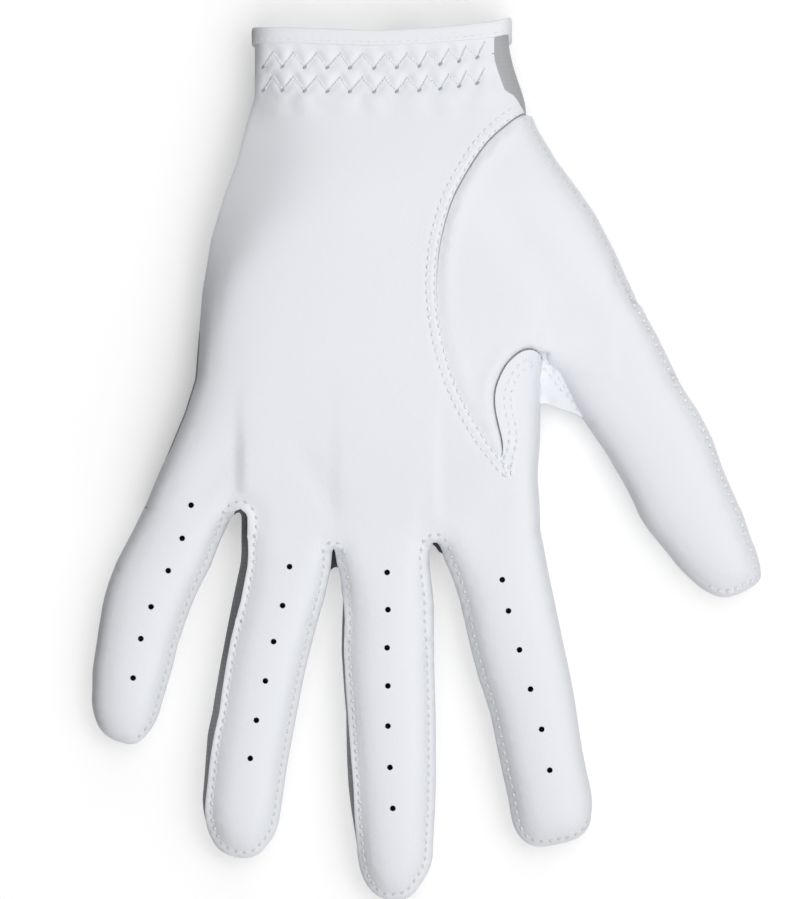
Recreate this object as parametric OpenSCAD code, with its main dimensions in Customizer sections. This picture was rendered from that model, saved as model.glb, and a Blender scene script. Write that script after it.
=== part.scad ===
// Golf glove for the left hand, lying on its back with the palm up.
// +X runs to the thumb side, +Y from the fingertips to the cuff, and +Z out of the palm.
// The origin lies under the middle of the palm, on the surface that the glove rests on.

/* [Cuff] */
// Width of the cuff between its side folds
cuff_w = 62.6; // [58:0.2:68]
// Cuff edge, measured from the origin
cuff_y = 75.5; // [73:0.5:82]
// Depth of the tape that binds the cuff edge
binding_h = 3.6; // [2.4:0.2:5]
// How far the binding stands proud of the leather
binding_proud = 0.6; // [0.3:0.1:1]
// Depth of the elastic band behind the gathers
elastic_h = 11; // [8:0.5:12]
// Thickness of the elastic band
elastic_t = 0.7; // [0.4:0.1:1]

/* [Leather] */
// Thickness of the leather and of the stretch mesh
leather_t = 0.8; // [0.6:0.05:1]
// Running gap between two panels at a crease that bends
crease_gap = 0.4; // [0.3:0.1:0.8]

/* [Fingers] */
// Little finger, from knuckle crease to tip
pinky_len = 60; // [50:0.5:66]
// Ring finger, from knuckle crease to tip
ring_len = 79.5; // [70:0.5:88]
// Middle finger, from knuckle crease to tip
middle_len = 87; // [76:0.5:94]
// Index finger, from knuckle crease to tip
index_len = 78.5; // [70:0.5:86]
// Little finger width at the knuckle
pinky_w = 22; // [18:0.2:23]
// Ring finger width at the knuckle
ring_w = 21.4; // [20:0.2:25]
// Middle finger width at the knuckle
middle_w = 23; // [20:0.2:25]
// Index finger width at the knuckle
index_w = 23.6; // [20:0.2:25]
// Slot between two fingers at the crotch
crotch_w = 1.8; // [1.2:0.1:2.6]
// How far the ring finger rolls to show its side wall
ring_roll = 3; // [0.6:0.1:3.4]
// How far the other finger seams stand in from the outline
seam_inset = 0.6; // [0.4:0.1:1.2]

/* [Thumb] */
// Thumb, from knuckle crease to tip
thumb_len = 74.2; // [64:0.2:80]
// Thumb width at the knuckle
thumb_w = 26.4; // [24:0.2:28]
// How far the thumb seam reaches into the palm
thumb_seam_reach = 22.5; // [18:0.5:25]

/* [Thickness] */
// Half height of the side walls
wall_half = 1.75; // [1.4:0.05:2.2]
// Height of the middle of the side walls above the back
wall_mid = 6.75; // [6:0.05:7.5]
// Rise of the front from its seam to the flat of a finger
front_rise = 5.4; // [4.5:0.1:6.2]
// Extra rise at the middle of the palm
palm_rise = 7; // [4:0.5:9]
// Swell of the palm close to its side seams
palm_swell = 4.8; // [0:0.2:5.4]
// Lift of the wrist that leaves room for the closure tab
wrist_lift = 3.4; // [3.2:0.1:4.4]

/* [Closure] */
// Width of the closure tab
tab_w = 25; // [20:0.5:27]
// Length of the tab that peels
tab_len = 39; // [32:0.5:42]
// Sewn end of the tab
tab_root_len = 9; // [6:0.5:11]
// Thickness of the tab
tab_t = 1; // [0.8:0.05:1.2]
// Thickness of the hook patch
hook_t = 0.9; // [0.6:0.05:1]
// Length of the hook patch
hook_len = 21; // [16:0.5:24]
// Length of the loop patch
loop_len = 24; // [18:0.5:27]
// Width of the vent at the cuff
vent_w = 7; // [4:0.5:9]
// Depth of the vent from the cuff edge
vent_h = 32; // [26:0.5:36]

/* [Hidden] */

leather_white = [0.93, 0.93, 0.95];
mesh_grey = [0.45, 0.47, 0.48];
tape_white = [0.96, 0.96, 0.97];
patch_grey = [0.6, 0.62, 0.64];

// ---- helpers -------------------------------------------------------------------------------
function mix(a, b, t) = a + (b - a) * t;
function clamp01(t) = max(0, min(1, t));
function smooth(t) = let (u = clamp01(t)) u * u * (3 - 2 * u);
function dome(t) = 1 - pow(1 - clamp01(t), 2);
function span(a, b, n) = [for (i = [0 : n]) mix(a, b, i / n)];
function flip(v) = [for (i = [len(v) - 1 : -1 : 0]) v[i]];
function flat(v) = [for (row = v) each row];
function last(v) = v[len(v) - 1];

// ---- digits --------------------------------------------------------------------------------
// A digit is [centre of its crease, lean from -Y, length, widths at crease, middle and tip,
// sideways bow, roundness of the tip, seam insets left and right, whether its crease runs along X]
thumb_lean = 29;
pinky_lean = -14.6;
ring_lean = -8.9;
middle_lean = 2.2;
index_lean = 12.2;
palm_right_x = 41.7;
pinky_crease_y = -41;
ring_crease_y = -48;
middle_crease_y = -50;
index_crease_y = -46.5;
thumb_crease = [54, 2.5];

index_x = palm_right_x - index_w / cos(index_lean) / 2;
middle_x = index_x - index_w / cos(index_lean) / 2 - crotch_w - middle_w / cos(middle_lean) / 2;
ring_x = middle_x - middle_w / cos(middle_lean) / 2 - crotch_w - ring_w / cos(ring_lean) / 2;
pinky_x = ring_x - ring_w / cos(ring_lean) / 2 - crotch_w - pinky_w / cos(pinky_lean) / 2;

pinky = [[pinky_x, pinky_crease_y], pinky_lean, pinky_len, [pinky_w, 19.8, 16.8], -3.6, 2.2,
    [seam_inset, seam_inset], true];
ring = [[ring_x, ring_crease_y], ring_lean, ring_len, [ring_w, 21, 19], -1.7, 2.1,
    [ring_roll, seam_inset], true];
middle = [[middle_x, middle_crease_y], middle_lean, middle_len, [middle_w, 21.8, 19.8], -0.6, 2.2,
    [ring_roll / 2, seam_inset], true];
index = [[index_x, index_crease_y], index_lean, index_len, [index_w, 21.8, 19.4], 0, 2.8,
    [seam_inset, seam_inset], true];
thumb = [thumb_crease, thumb_lean, thumb_len, [thumb_w, 23.6, 19.8], 1.4, 2.6,
    [seam_inset, seam_inset], false];

bend_share = 0.5;
tip_share = 0.6;
tip_angles = [20, 38, 56, 75];

function lean(d) = d[1];
function length(d) = d[2];
function bend_at(d) = length(d) * bend_share;
function tip_from(d) = length(d) - d[3][2] * tip_share;

// Half width of digit d at the distance s from its crease
function half_width(d, s) =
    let (w = d[3], shoulder = tip_from(d), mid = shoulder / 2, e = d[5],
        body = s <= mid ? mix(w[0], w[1], smooth(s / mid))
            : mix(w[1], w[2], smooth((min(s, shoulder) - mid) / mid)),
        past = clamp01((s - shoulder) / (length(d) - shoulder)))
    body / 2 * pow(max(0, 1 - pow(past, e)), 1 / e);

// Direction of the row across digit d: along X at a finger's crease, square to the digit at its bend
function row_angle(d, s) = d[7] ? lean(d) * smooth(s / bend_at(d)) : lean(d);

// Point of digit d at the distance s along it and q across it
function on_digit(d, s, q) =
    let (a = lean(d), b = row_angle(d, s), bow = d[4] * sin(180 * clamp01(s / length(d))),
        across = q / cos(a - b))
    d[0] + s * [sin(a), -cos(a)] + bow * [cos(a), sin(a)] + across * [cos(b), sin(b)];

function base_stations(d) = span(crease_gap / 2, bend_at(d) - crease_gap / 2, 6);
function tip_stations(d) = concat(span(bend_at(d) + crease_gap / 2, tip_from(d), 4),
    [for (f = tip_angles) tip_from(d) + (length(d) - tip_from(d)) * sin(f)]);
function outline_stations(d) = concat([0], span(6, tip_from(d), 7),
    [for (f = tip_angles) tip_from(d) + (length(d) - tip_from(d)) * sin(f)]);
function digit_outline(d) = concat(
    [for (s = outline_stations(d)) on_digit(d, s, -half_width(d, s))],
    [for (s = flip(outline_stations(d))) on_digit(d, s, half_width(d, s))]);

// ---- outline of the palm -------------------------------------------------------------------
cuff_mid_x = 2.9;
cuff_left_x = cuff_mid_x - cuff_w / 2;
cuff_right_x = cuff_left_x + cuff_w;
panel_top_y = cuff_y - binding_h;
thumb_top = [38.4, 55.2];
pinky_corner = on_digit(pinky, 0, -half_width(pinky, 0));
index_corner = on_digit(index, 0, half_width(index, 0));
thumb_inner = on_digit(thumb, -crease_gap / 2, -half_width(thumb, 0));
thumb_outer = on_digit(thumb, -crease_gap / 2, half_width(thumb, 0));
thumb_seam_tip_y = -31.5;
crotch_arc_top_y = -2.6;

// Shares of the way from cuff to crease, with the share of the sideways travel reached there
ulnar_profile = [[0, 0], [0.14, 0], [0.2, 0.08], [0.27, 0.155], [0.35, 0.285], [0.44, 0.4],
    [0.55, 0.48], [0.66, 0.52], [0.73, 0.545], [0.8, 0.64], [0.87, 0.765], [0.93, 0.875], [1, 1]];
thenar_profile = [[0, 0], [0.25, 0.26], [0.41, 0.465], [0.53, 0.63], [0.75, 0.81], [1, 1]];
seam_profile = [[0, 0], [0.05, 0.285], [0.11, 0.5], [0.18, 0.685], [0.255, 0.825], [0.33, 0.93],
    [0.43, 0.995], [0.5, 1], [0.6, 0.955], [0.7, 0.865], [0.79, 0.74], [0.87, 0.59], [0.94, 0.42],
    [1, 0.267]];
arc_points = [[-31.5, 32.4], [-25, 32.4], [-20, 31], [-17, 30.5], [-13.5, 30.4], [-10.5, 31],
    [-7.5, 32.5], [-4.6, 34.8], [-3.2, 37], [-2.6, 39.4]];
gusset_profile = [[55, 1.5], [59, 1.5], [62, 3.4], [66, 4], [72, 3.2], [90, 3.2]];
side_strip = 1.5;

function left_x(y) = mix(cuff_left_x, pinky_corner.x,
    lookup((cuff_y - y) / (cuff_y - pinky_crease_y), ulnar_profile));
function wrist_right_x(y) = mix(cuff_right_x, thumb_top.x,
    smooth((panel_top_y - y) / (panel_top_y - thumb_top.y)));
function thenar_x(y) = mix(thumb_top.x, thumb_outer.x,
    lookup((thumb_top.y - y) / (thumb_top.y - thumb_outer.y), thenar_profile));
function thumb_root_x(y) = mix(thumb_inner.x, thumb_outer.x,
    (y - thumb_inner.y) / (thumb_outer.y - thumb_inner.y));
function index_side_x(y) = mix(index_corner.x, thumb_inner.x,
    pow(clamp01((y - index_corner.y) / (thumb_inner.y - index_corner.y)), 6));
function seam_x(y) = y >= thumb_top.y ? wrist_right_x(y) - lookup(y, gusset_profile)
    : thumb_top.x - thumb_seam_reach
        * lookup((thumb_top.y - y) / (thumb_top.y - thumb_seam_tip_y), seam_profile);
seam_tip_x = thumb_top.x - thumb_seam_reach * last(seam_profile)[1];
split_x = index_x + 3;
function arc_x(y) = lookup(y, arc_points) + (seam_tip_x - arc_points[0][1])
    * smooth((y - crotch_arc_top_y) / (thumb_seam_tip_y - crotch_arc_top_y));

// The whole outline seen from above, open at the cuff
outline = concat(
    [for (y = span(cuff_y, pinky_crease_y + 3, 14)) [left_x(y), y]],
    digit_outline(pinky), digit_outline(ring), digit_outline(middle), digit_outline(index),
    [for (y = span(index_crease_y + 6, thumb_inner.y - 3, 5)) [index_side_x(y), y]],
    digit_outline(thumb),
    [for (y = span(thumb_outer.y + 5, cuff_y, 10)) [y > thumb_top.y ? wrist_right_x(y) : thenar_x(y), y]]);

function segment_distance(p, a, b) =
    let (ab = b - a, t = clamp01((p - a) * ab / (ab * ab))) norm(p - a - t * ab);
function edge_distance(p) =
    min([for (i = [0 : len(outline) - 2]) segment_distance(p, outline[i], outline[i + 1])]);

// ---- heights -------------------------------------------------------------------------------
// Distances in from the outline over which the surfaces curve
front_reach = 9;
palm_reach = 38;
back_reach = 7;
lift_from_y = 18;
lift_to_y = 38;
tip_close = 0.5;

function lift(y) = wrist_lift * smooth((y - lift_from_y) / (lift_to_y - lift_from_y));
function palm_fullness(y) = mix(0.3, 1, smooth((panel_top_y - y) / 40));
// 0 from the creases outwards, and 1 where the palm is free to swell
swell_run = 13;
crease_line = [for (c = [[pinky, pinky_crease_y], [ring, ring_crease_y], [middle, middle_crease_y],
        [index, index_crease_y]], side = [-1, 1])
    [on_digit(c[0], 0, side * half_width(c[0], 0)).x + side * crotch_w / 4, c[1]]];
function above_thumb(p) =
    ([p.x, p.y] - thumb_crease) * [-sin(thumb_lean), cos(thumb_lean)];
function palmness(p) = smooth((p.y - lookup(p.x, crease_line)) / swell_run)
    * mix(1, smooth(above_thumb(p) / swell_run), smooth((p.x - palm_right_x + 4) / 5));
function swell(p, e) = palm_swell * palmness(p) * palm_fullness(p.y) * dome(e / 3)
    * (1 - smooth((e - 8) / 30));
// Height of the front and of the back over the point p. k is 1, and falls towards a tip
function front_z(p, k = 1) =
    let (e = edge_distance(p))
    wall_mid + wall_half * k + lift(p.y) + front_rise * dome(e / front_reach)
        + palm_rise * palm_fullness(p.y) * smooth(e / palm_reach) + swell(p, e);
function back_z(p, k = 1) =
    let (e = edge_distance(p))
    (wall_mid - wall_half * k) * (1 - dome(e / back_reach)) + lift(p.y);
function tip_factor(d, s) =
    mix(1, tip_close, smooth((s - tip_from(d)) / (length(d) - tip_from(d))));

// ---- sheets --------------------------------------------------------------------------------
// A closed shell between a grid of outer points and the matching grid of inner points
module shell(outer, inner) {
    rows = len(outer);
    cols = len(outer[0]);
    base = rows * cols;
    function at(i, j) = i * cols + j;
    points = concat(flat(outer), flat(inner));
    // Cuts a quad along the diagonal that any panel beside it would choose too
    function cost(a, b) = norm(points[a] - points[b]) + 0.01 * (points[a] + points[b]) * [1, 0.7, 0.3];
    function quad(a, b, c, d) = cost(a, c) < cost(b, d) ? [[a, b, c], [a, c, d]] : [[a, b, d], [b, c, d]];
    polyhedron(points = points, faces = flat([
        for (i = [0 : rows - 2], j = [0 : cols - 2])
            quad(at(i, j), at(i, j + 1), at(i + 1, j + 1), at(i + 1, j)),
        for (i = [0 : rows - 2], j = [0 : cols - 2])
            quad(base + at(i, j), base + at(i + 1, j), base + at(i + 1, j + 1), base + at(i, j + 1)),
        for (i = [0 : rows - 2])
            quad(at(i, 0), at(i + 1, 0), base + at(i + 1, 0), base + at(i, 0)),
        for (i = [0 : rows - 2])
            quad(at(i + 1, cols - 1), at(i, cols - 1), base + at(i, cols - 1), base + at(i + 1, cols - 1)),
        for (j = [0 : cols - 2])
            quad(at(0, j + 1), at(0, j), base + at(0, j), base + at(0, j + 1)),
        for (j = [0 : cols - 2])
            quad(at(rows - 1, j), at(rows - 1, j + 1), base + at(rows - 1, j + 1), base + at(rows - 1, j))
    ]));
}

// How far the inside of a panel's edge lies towards the middle of the wall
edge_drop = 0.35 * leather_t;
// A skin point is [outer point, inner point]
function up(p, z) = [p.x, p.y, z];
function front_skin(p, k = 1) = let (z = front_z(p, k)) [up(p, z), up(p, z - leather_t)];
function back_skin(p, k = 1) = let (z = back_z(p, k)) [up(p, z), up(p, z + leather_t)];
// The corner where the front meets a side wall, and where the back does. inward is a unit vector
function front_corner(p, inward, k = 1) =
    let (z = front_z(p, k)) [up(p, z), up(p + leather_t * inward, z - edge_drop)];
function back_corner(p, inward, k = 1) =
    let (z = back_z(p, k)) [up(p, z), up(p + leather_t * inward, z + edge_drop)];

module skin(rows) {
    shell([for (r = rows) [for (c = r) c[0]]], [for (r = rows) [for (c = r) c[1]]]);
}

// ---- digit panels --------------------------------------------------------------------------
front_cells = 6;
function row_dir(d, s) = let (b = row_angle(d, s)) [cos(b), sin(b)];
function tip_end(d) = last(tip_stations(d));
// Unit vector from a side edge into the digit, turned towards the hand at the very tip
function inward(d, s, side) =
    s < tip_end(d) ? -side * row_dir(d, s)
        : (-side * row_dir(d, s) - [sin(lean(d)), -cos(lean(d))]) / sqrt(2);
// Length from the crease over which a rolled seam moves in from the outline
roll_run = 8;
function front_inset(d, s, side) =
    min(mix(seam_inset, d[6][side < 0 ? 0 : 1], smooth(s / roll_run)), half_width(d, s) / 4);
function front_edge(d, s, side) = side * (half_width(d, s) - front_inset(d, s, side));
function front_end(d, s, side) =
    front_corner(on_digit(d, s, front_edge(d, s, side)), inward(d, s, side), tip_factor(d, s));
function back_end(d, s, side) =
    back_corner(on_digit(d, s, side * half_width(d, s)), inward(d, s, side), tip_factor(d, s));
function to_hand(d) = [-sin(lean(d)), cos(lean(d))];

// Rows across the front and the back, from the left of the digit to its right
function front_row(d, s) =
    let (a = front_edge(d, s, -1), b = front_edge(d, s, 1), k = tip_factor(d, s))
    concat([front_end(d, s, -1)],
        [for (i = [1 : front_cells - 1]) let (p = on_digit(d, s, mix(a, b, i / front_cells)))
            s < tip_end(d) ? front_skin(p, k) : front_corner(p, to_hand(d), k)],
        [front_end(d, s, 1)]);
function back_row(d, s) =
    let (h = half_width(d, s), k = tip_factor(d, s))
    concat([back_end(d, s, -1)],
        [for (i = [1 : front_cells - 1]) let (p = on_digit(d, s, mix(-h, h, i / front_cells)))
            s < tip_end(d) ? back_skin(p, k) : back_corner(p, to_hand(d), k)],
        [back_end(d, s, 1)]);

module digit_front(d, stations, wrapped_sides) {
    skin([for (s = stations) front_row(d, s)]);
    for (side = wrapped_sides) digit_wall(d, stations, side);
    if (last(stations) == tip_end(d)) skin([front_row(d, tip_end(d)), back_row(d, tip_end(d))]);
}
module digit_back(d, stations) {
    skin([for (s = stations) flip(back_row(d, s))]);
}
module digit_wall(d, stations, side) {
    skin([for (s = stations) side < 0 ? [back_end(d, s, -1), front_end(d, s, -1)]
        : [front_end(d, s, 1), back_end(d, s, 1)]]);
}

// ---- palm and back rows --------------------------------------------------------------------
finger_cells = 5;
gore_cells = 4;
// Share of the last stretch of the thumb seam that the thumb piece's point fills
gore_reach = 0.8;
tongue_cells = 2;
// Points along the creases, from the share from to the share to of a digit's half width
function crease_points(d, n, from, to) =
    [for (i = [0 : n]) on_digit(d, 0, mix(from, to, i / n) * half_width(d, 0)) + [0, crease_gap / 2]];
split_share = (split_x - index_x) / (index_corner.x - index_x);
crease_main = concat(flat([for (d = [pinky, ring, middle]) crease_points(d, finger_cells, -1, 1)]),
    crease_points(index, 3, -1, split_share));
crease_side = crease_points(index, tongue_cells, split_share, 1);
crease_back = concat(crease_main, [crease_side[1]]);
function shares(points) = [for (p = points) (p.x - points[0].x) / (last(points).x - points[0].x)];

wrist_rows = [panel_top_y, panel_top_y - elastic_h / 2, panel_top_y - elastic_h, thumb_top.y];
thenar_rows = span(thumb_top.y, thumb_outer.y, 6);
root_rows = span(thumb_outer.y, crotch_arc_top_y, 3);
arc_rows = [crotch_arc_top_y, -3.2, -4.6, -7.5, -10.5, -13.5, -17, -21, -26, thumb_seam_tip_y];
crease_steps = [0.35, 0.7, 1];
upper_ys = concat(wrist_rows, [for (i = [1 : 6]) thenar_rows[i]], [for (i = [1 : 2]) root_rows[i]]);
// Rows at which the leather of the little finger side, the back and the knuckle mesh end
mesh_row = 11;
knuckle_row = 5;
low_row = 8;

function row_between(a, b, at) = [for (f = at) mix(a, b, f)];
function even(n) = [for (i = [0 : n]) i / n];
function rows_to(row, crease) =
    [for (t = crease_steps) [for (j = [0 : len(row) - 1]) mix(row[j], crease[j], t)]];

// Right side of the palm beside the index finger, level with each row of the crotch arc
function side_point(i) =
    let (y = mix(thumb_inner.y, thumb_seam_tip_y,
        (crotch_arc_top_y - arc_rows[i]) / (crotch_arc_top_y - thumb_seam_tip_y)))
    [index_side_x(y), y];
function arc_point(i) = [arc_x(arc_rows[i]), arc_rows[i]];
seam_point_at_tip = [seam_tip_x, thumb_seam_tip_y];

palm_rows = [for (y = concat(upper_ys, arc_rows)) row_between([left_x(y), y], [seam_x(y), y],
    shares(crease_main))];
palm_plan = concat(palm_rows, rows_to(last(palm_rows), crease_main));
tongue_rows = [for (i = [0 : len(arc_rows) - 1]) row_between(arc_point(i), side_point(i), even(tongue_cells))];
tongue_plan = concat(tongue_rows, rows_to(last(tongue_rows), crease_side));

function back_seam_x(y) = y >= thumb_top.y ? wrist_right_x(y) - side_strip
    : mix(thumb_top.x - side_strip, thumb_inner.x - side_strip,
        (thumb_top.y - y) / (thumb_top.y - thumb_inner.y));
back_upper = [for (y = upper_ys) row_between([left_x(y), y], [back_seam_x(y), y], shares(crease_back))];
back_lower = [for (i = [0 : len(arc_rows) - 1])
    row_between([left_x(arc_rows[i]), arc_rows[i]], side_point(i) - [side_strip, 0], shares(crease_back))];
back_plan = concat(back_upper, back_lower, rows_to(last(back_lower), crease_back));
side_plan = concat([for (i = [0 : len(arc_rows) - 1]) side_point(i)],
    [for (t = crease_steps) mix(side_point(len(arc_rows) - 1), last(crease_side), t)]);

// ---- skins of the hand ---------------------------------------------------------------------
to_left = [-1, 0];
to_right = [1, 0];
// The two corners of each crotch, and the way into the palm from the line between them
function crotch(left, right) = let (
    a = on_digit(left, 0, half_width(left, 0)) + [0, crease_gap / 2],
    b = on_digit(right, 0, -half_width(right, 0)) + [0, crease_gap / 2])
    [a, b, [a.y - b.y, b.x - a.x] / norm(b - a)];
crotches = [crotch(pinky, ring), crotch(ring, middle), crotch(middle, index)];
function crotch_inward(p) =
    [for (c = crotches) if (min(norm(p - c[0]), norm(p - c[1])) < 0.001) c[2]];
function is_corner(p) = len(crotch_inward(p)) > 0;
// Front and back rows, whose ends and crotch corners have the thickness of a wall
function front_skins(row, first_in, last_in) = [for (j = [0 : len(row) - 1])
    j == 0 && first_in != 0 ? front_corner(row[j], first_in)
        : j == len(row) - 1 && last_in != 0 ? front_corner(row[j], last_in)
        : is_corner(row[j]) ? front_corner(row[j], crotch_inward(row[j])[0])
        : front_skin(row[j])];
function back_skins(row, first_in, last_in) = [for (j = [0 : len(row) - 1])
    j == 0 && first_in != 0 ? back_corner(row[j], first_in)
        : j == len(row) - 1 && last_in != 0 ? back_corner(row[j], last_in)
        : is_corner(row[j]) ? back_corner(row[j], crotch_inward(row[j])[0])
        : back_skin(row[j])];
function from_to(v, a, b) = [for (i = [a : b]) v[i]];

// The side wall below the little finger
module left_wall(points) {
    skin([for (p = points) [back_corner(p, to_right), front_corner(p, to_right)]]);
}
// A front row that turns down the side wall past its last point
function row_with_side(row) = concat(front_skins(row, 0, to_left), [back_corner(last(row), to_left)]);

// The palm: one hide from the cuff to the creases, with a tongue round the side of the index finger
module palm_panel() {
    color(leather_white) {
        skin([for (r = palm_plan) front_skins(r, to_right, 0)]);
        skin([for (r = tongue_plan) row_with_side(r)]);
    }
}

// The front of the thumb piece, between the curved seam, the thenar edge and the crotch arc
module thumb_gore_front() {
    arc_top = arc_point(0);
    split = (arc_top.x - seam_x(arc_top.y)) / (thumb_inner.x - seam_x(arc_top.y));
    at = concat([for (f = even(gore_cells)) f * split],
        [for (i = [1 : tongue_cells]) mix(split, 1, i / tongue_cells)]);
    thenar = [for (y = thenar_rows) row_between([seam_x(y), y], [thenar_x(y), y], at)];
    root = [for (i = [1 : 2]) let (y = root_rows[i])
        row_between([seam_x(y), y], [thumb_root_x(y), y], at)];
    crotch = concat(row_between([seam_x(arc_top.y), arc_top.y], arc_top, even(gore_cells)),
        [for (i = [1 : tongue_cells]) mix(arc_top, thumb_inner, i / tongue_cells)]);
    arc_part = [for (i = [0 : low_row])
        row_between([seam_x(arc_rows[i]), arc_rows[i]], arc_point(i), even(gore_cells))];
    point = [for (p = last(arc_part)) mix(p, seam_point_at_tip, gore_reach)];
    color(leather_white) {
        skin([for (r = thenar) row_with_side(r)]);
        skin(concat([front_skins(last(thenar), 0, to_left)],
            [for (r = concat(root, [crotch])) front_skins(r, 0, 0)]));
        skin([for (r = concat(arc_part, [point])) front_skins(r, 0, 0)]);
    }
}

module thumb_gore_back() {
    cells = 3;
    thenar = [for (y = thenar_rows) row_between([thenar_x(y), y], [back_seam_x(y), y], even(cells))];
    root = [for (i = [1 : 2]) let (y = root_rows[i])
        row_between([thumb_root_x(y), y], [back_seam_x(y), y], even(cells))];
    crotch = row_between(thumb_inner, thumb_inner - [side_strip, 0], even(cells));
    color(leather_white) skin(concat([for (r = thenar) back_skins(r, to_left, 0)],
        [for (r = concat(root, [crotch])) back_skins(r, 0, 0)]));
}

// A stretch of the back from row a to row b of back_plan, with its edge strip below the thumb
module back_stretch(a, b) {
    first_low = len(upper_ys);
    skin([for (r = from_to(back_plan, a, b)) flip(back_skins(r, to_right, 0))]);
    if (b > first_low) skin([for (i = [max(a, first_low) : b])
        [back_corner(side_plan[i - first_low], to_left), back_skin(last(back_plan[i]))]]);
}
back_split = len(upper_ys) + knuckle_row;
knuckle_split = len(upper_ys) + low_row;

module vent_cut() {
    translate([vent_x - vent_w / 2, cuff_y - vent_h, -1]) cube([vent_w, 2 * vent_h, wrist_lift + 5]);
}
module back_panel() {
    color(leather_white) difference() {
        union() back_stretch(0, back_split);
        vent_cut();
    }
}
module knuckle_mesh() {
    color(mesh_grey) back_stretch(back_split, knuckle_split);
}
module knuckle_leather() {
    color(leather_white) back_stretch(knuckle_split, len(back_plan) - 1);
}

module ulnar_leather() {
    color(leather_white) left_wall([for (r = from_to(palm_plan, 0, mesh_row)) r[0]]);
}
module ulnar_mesh() {
    color(mesh_grey) left_wall([for (r = from_to(palm_plan, mesh_row, len(palm_plan) - 1)) r[0]]);
}
module wrist_gusset() {
    color(mesh_grey) skin([for (y = wrist_rows) let (edge = [wrist_right_x(y), y])
        [front_skin([seam_x(y), y]), front_corner(edge, to_left), back_corner(edge, to_left),
            back_skin(edge - [side_strip, 0])]]);
}

// ---- crotches ------------------------------------------------------------------------------
module fork(c) {
    color(mesh_grey) skin([for (p = [c[1], c[0]]) [front_corner(p, c[2]), back_corner(p, c[2])]]);
}
module fork_pinky_ring() { fork(crotches[0]); }
module fork_ring_middle() { fork(crotches[1]); }
module fork_middle_index() { fork(crotches[2]); }

// ---- cuff ----------------------------------------------------------------------------------
vent_x = cuff_mid_x + 4.6;
vent_tape_w = 2.6;
vent_tape_t = 0.5;

// Tape folded over the cuff edge, all the way round but for the vent
module cuff_binding() {
    cells = 12;
    p = binding_proud;
    function ring_at(y) = let (a = left_x(y), b = wrist_right_x(y))
        concat([for (f = even(cells)) let (q = [mix(a, b, f), y], z = front_z(q),
                out = f == 0 ? [-p, p] : f == 1 ? [p, p] : [0, p],
                in = f == 0 ? [leather_t, -leather_t] : f == 1 ? [-leather_t, -leather_t] : [0, -leather_t])
                [[q.x + out.x, y, z + out.y], [q.x + in.x, y, z + in.y]]],
            [for (f = flip(even(cells))) let (q = [mix(a, b, f), y], z = back_z(q),
                out = f == 0 ? [-p, -p] : f == 1 ? [p, -p] : [0, -p],
                in = f == 0 ? [leather_t, leather_t] : f == 1 ? [-leather_t, leather_t] : [0, leather_t])
                [[q.x + out.x, y, z + out.y], [q.x + in.x, y, z + in.y]]]);
    function closed(v) = concat(v, [v[0]]);
    top = closed(ring_at(cuff_y));
    low = closed(ring_at(panel_top_y));
    color(tape_white) difference() {
        hoop([for (c = top) c[0]], [for (c = low) c[0]], [for (c = top) c[1]], [for (c = low) c[1]]);
        vent_cut();
    }
}
// A closed hoop through four loops: outer top, outer low, inner top, inner low
module hoop(a, b, c, d) {
    n = len(a) - 1;
    loops = [for (v = [a, b, d, c]) [for (i = [0 : n - 1]) v[i]]];
    polyhedron(points = flat(loops), faces = flat([for (k = [0 : 3], i = [0 : n - 1])
        let (m = (k + 1) % 4, j = (i + 1) % n)
        [[k * n + i, k * n + j, m * n + j], [k * n + i, m * n + j, m * n + i]]]));
}

// Elastic behind the gathers, against the inside of the palm
module wrist_elastic() {
    color(tape_white) skin([for (r = from_to(palm_plan, 0, 2)) [for (p = from_to(r, 1, len(r) - 2))
        let (z = front_z(p) - leather_t) [up(p, z), up(p, z - elastic_t)]]]);
}
module vent_tape() {
    z = wrist_lift + leather_t;
    color(tape_white) difference() {
        translate([vent_x - vent_w / 2 - vent_tape_w, cuff_y - vent_h - vent_tape_w, z])
            cube([vent_w + 2 * vent_tape_w, vent_h - binding_h + vent_tape_w, vent_tape_t]);
        vent_cut();
    }
}
label_size = [13, 16, 0.3];
label_gap = 11.5;
label_x = vent_x - label_gap;
module size_label() {
    color(tape_white) translate([label_x - label_size.x, panel_top_y - label_size.y, wrist_lift + leather_t])
        cube(label_size);
}

// ---- closure -------------------------------------------------------------------------------
tab_below_cuff = 21;
tab_past_vent = 9.5;
tab_y = cuff_y - tab_below_cuff;
hinge_x = vent_x + tab_past_vent;
tab_gap = 0.15;
lining_t = 0.6;
lining_margin = 1;
patch_margin = 2.5;
corner_r = 4;
loop_t = wrist_lift - tab_t - lining_t - hook_t - tab_gap;

// Plate from x1 to x2 about the middle of the tab, with its free end rounded
module plate(x1, x2, width, z, t, r) {
    translate([0, tab_y, z]) linear_extrude(t) hull() {
        translate([x1 + r, -width / 2 + r]) circle(r, $fn = 32);
        translate([x1 + r, width / 2 - r]) circle(r, $fn = 32);
        translate([x2 - 1, -width / 2]) square([1, width]);
    }
}
tab_tip_x = hinge_x - tab_gap - tab_len;
module tab_strap() {
    color(leather_white) plate(tab_tip_x, hinge_x - tab_gap, tab_w, 0, tab_t, corner_r);
}
module tab_lining() {
    color(tape_white) plate(tab_tip_x + lining_margin, hinge_x - 2 * tab_gap, tab_w - 2 * lining_margin,
        tab_t, lining_t, corner_r - lining_margin);
}
module hook_patch() {
    x = tab_tip_x + patch_margin;
    color(patch_grey) plate(x, x + hook_len, tab_w - 2 * patch_margin, tab_t + lining_t, hook_t, 1.5);
}
module loop_patch() {
    x = tab_tip_x - 1;
    color(patch_grey) plate(x, x + loop_len, tab_w - 2, wrist_lift - loop_t, loop_t, 2);
}
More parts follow.
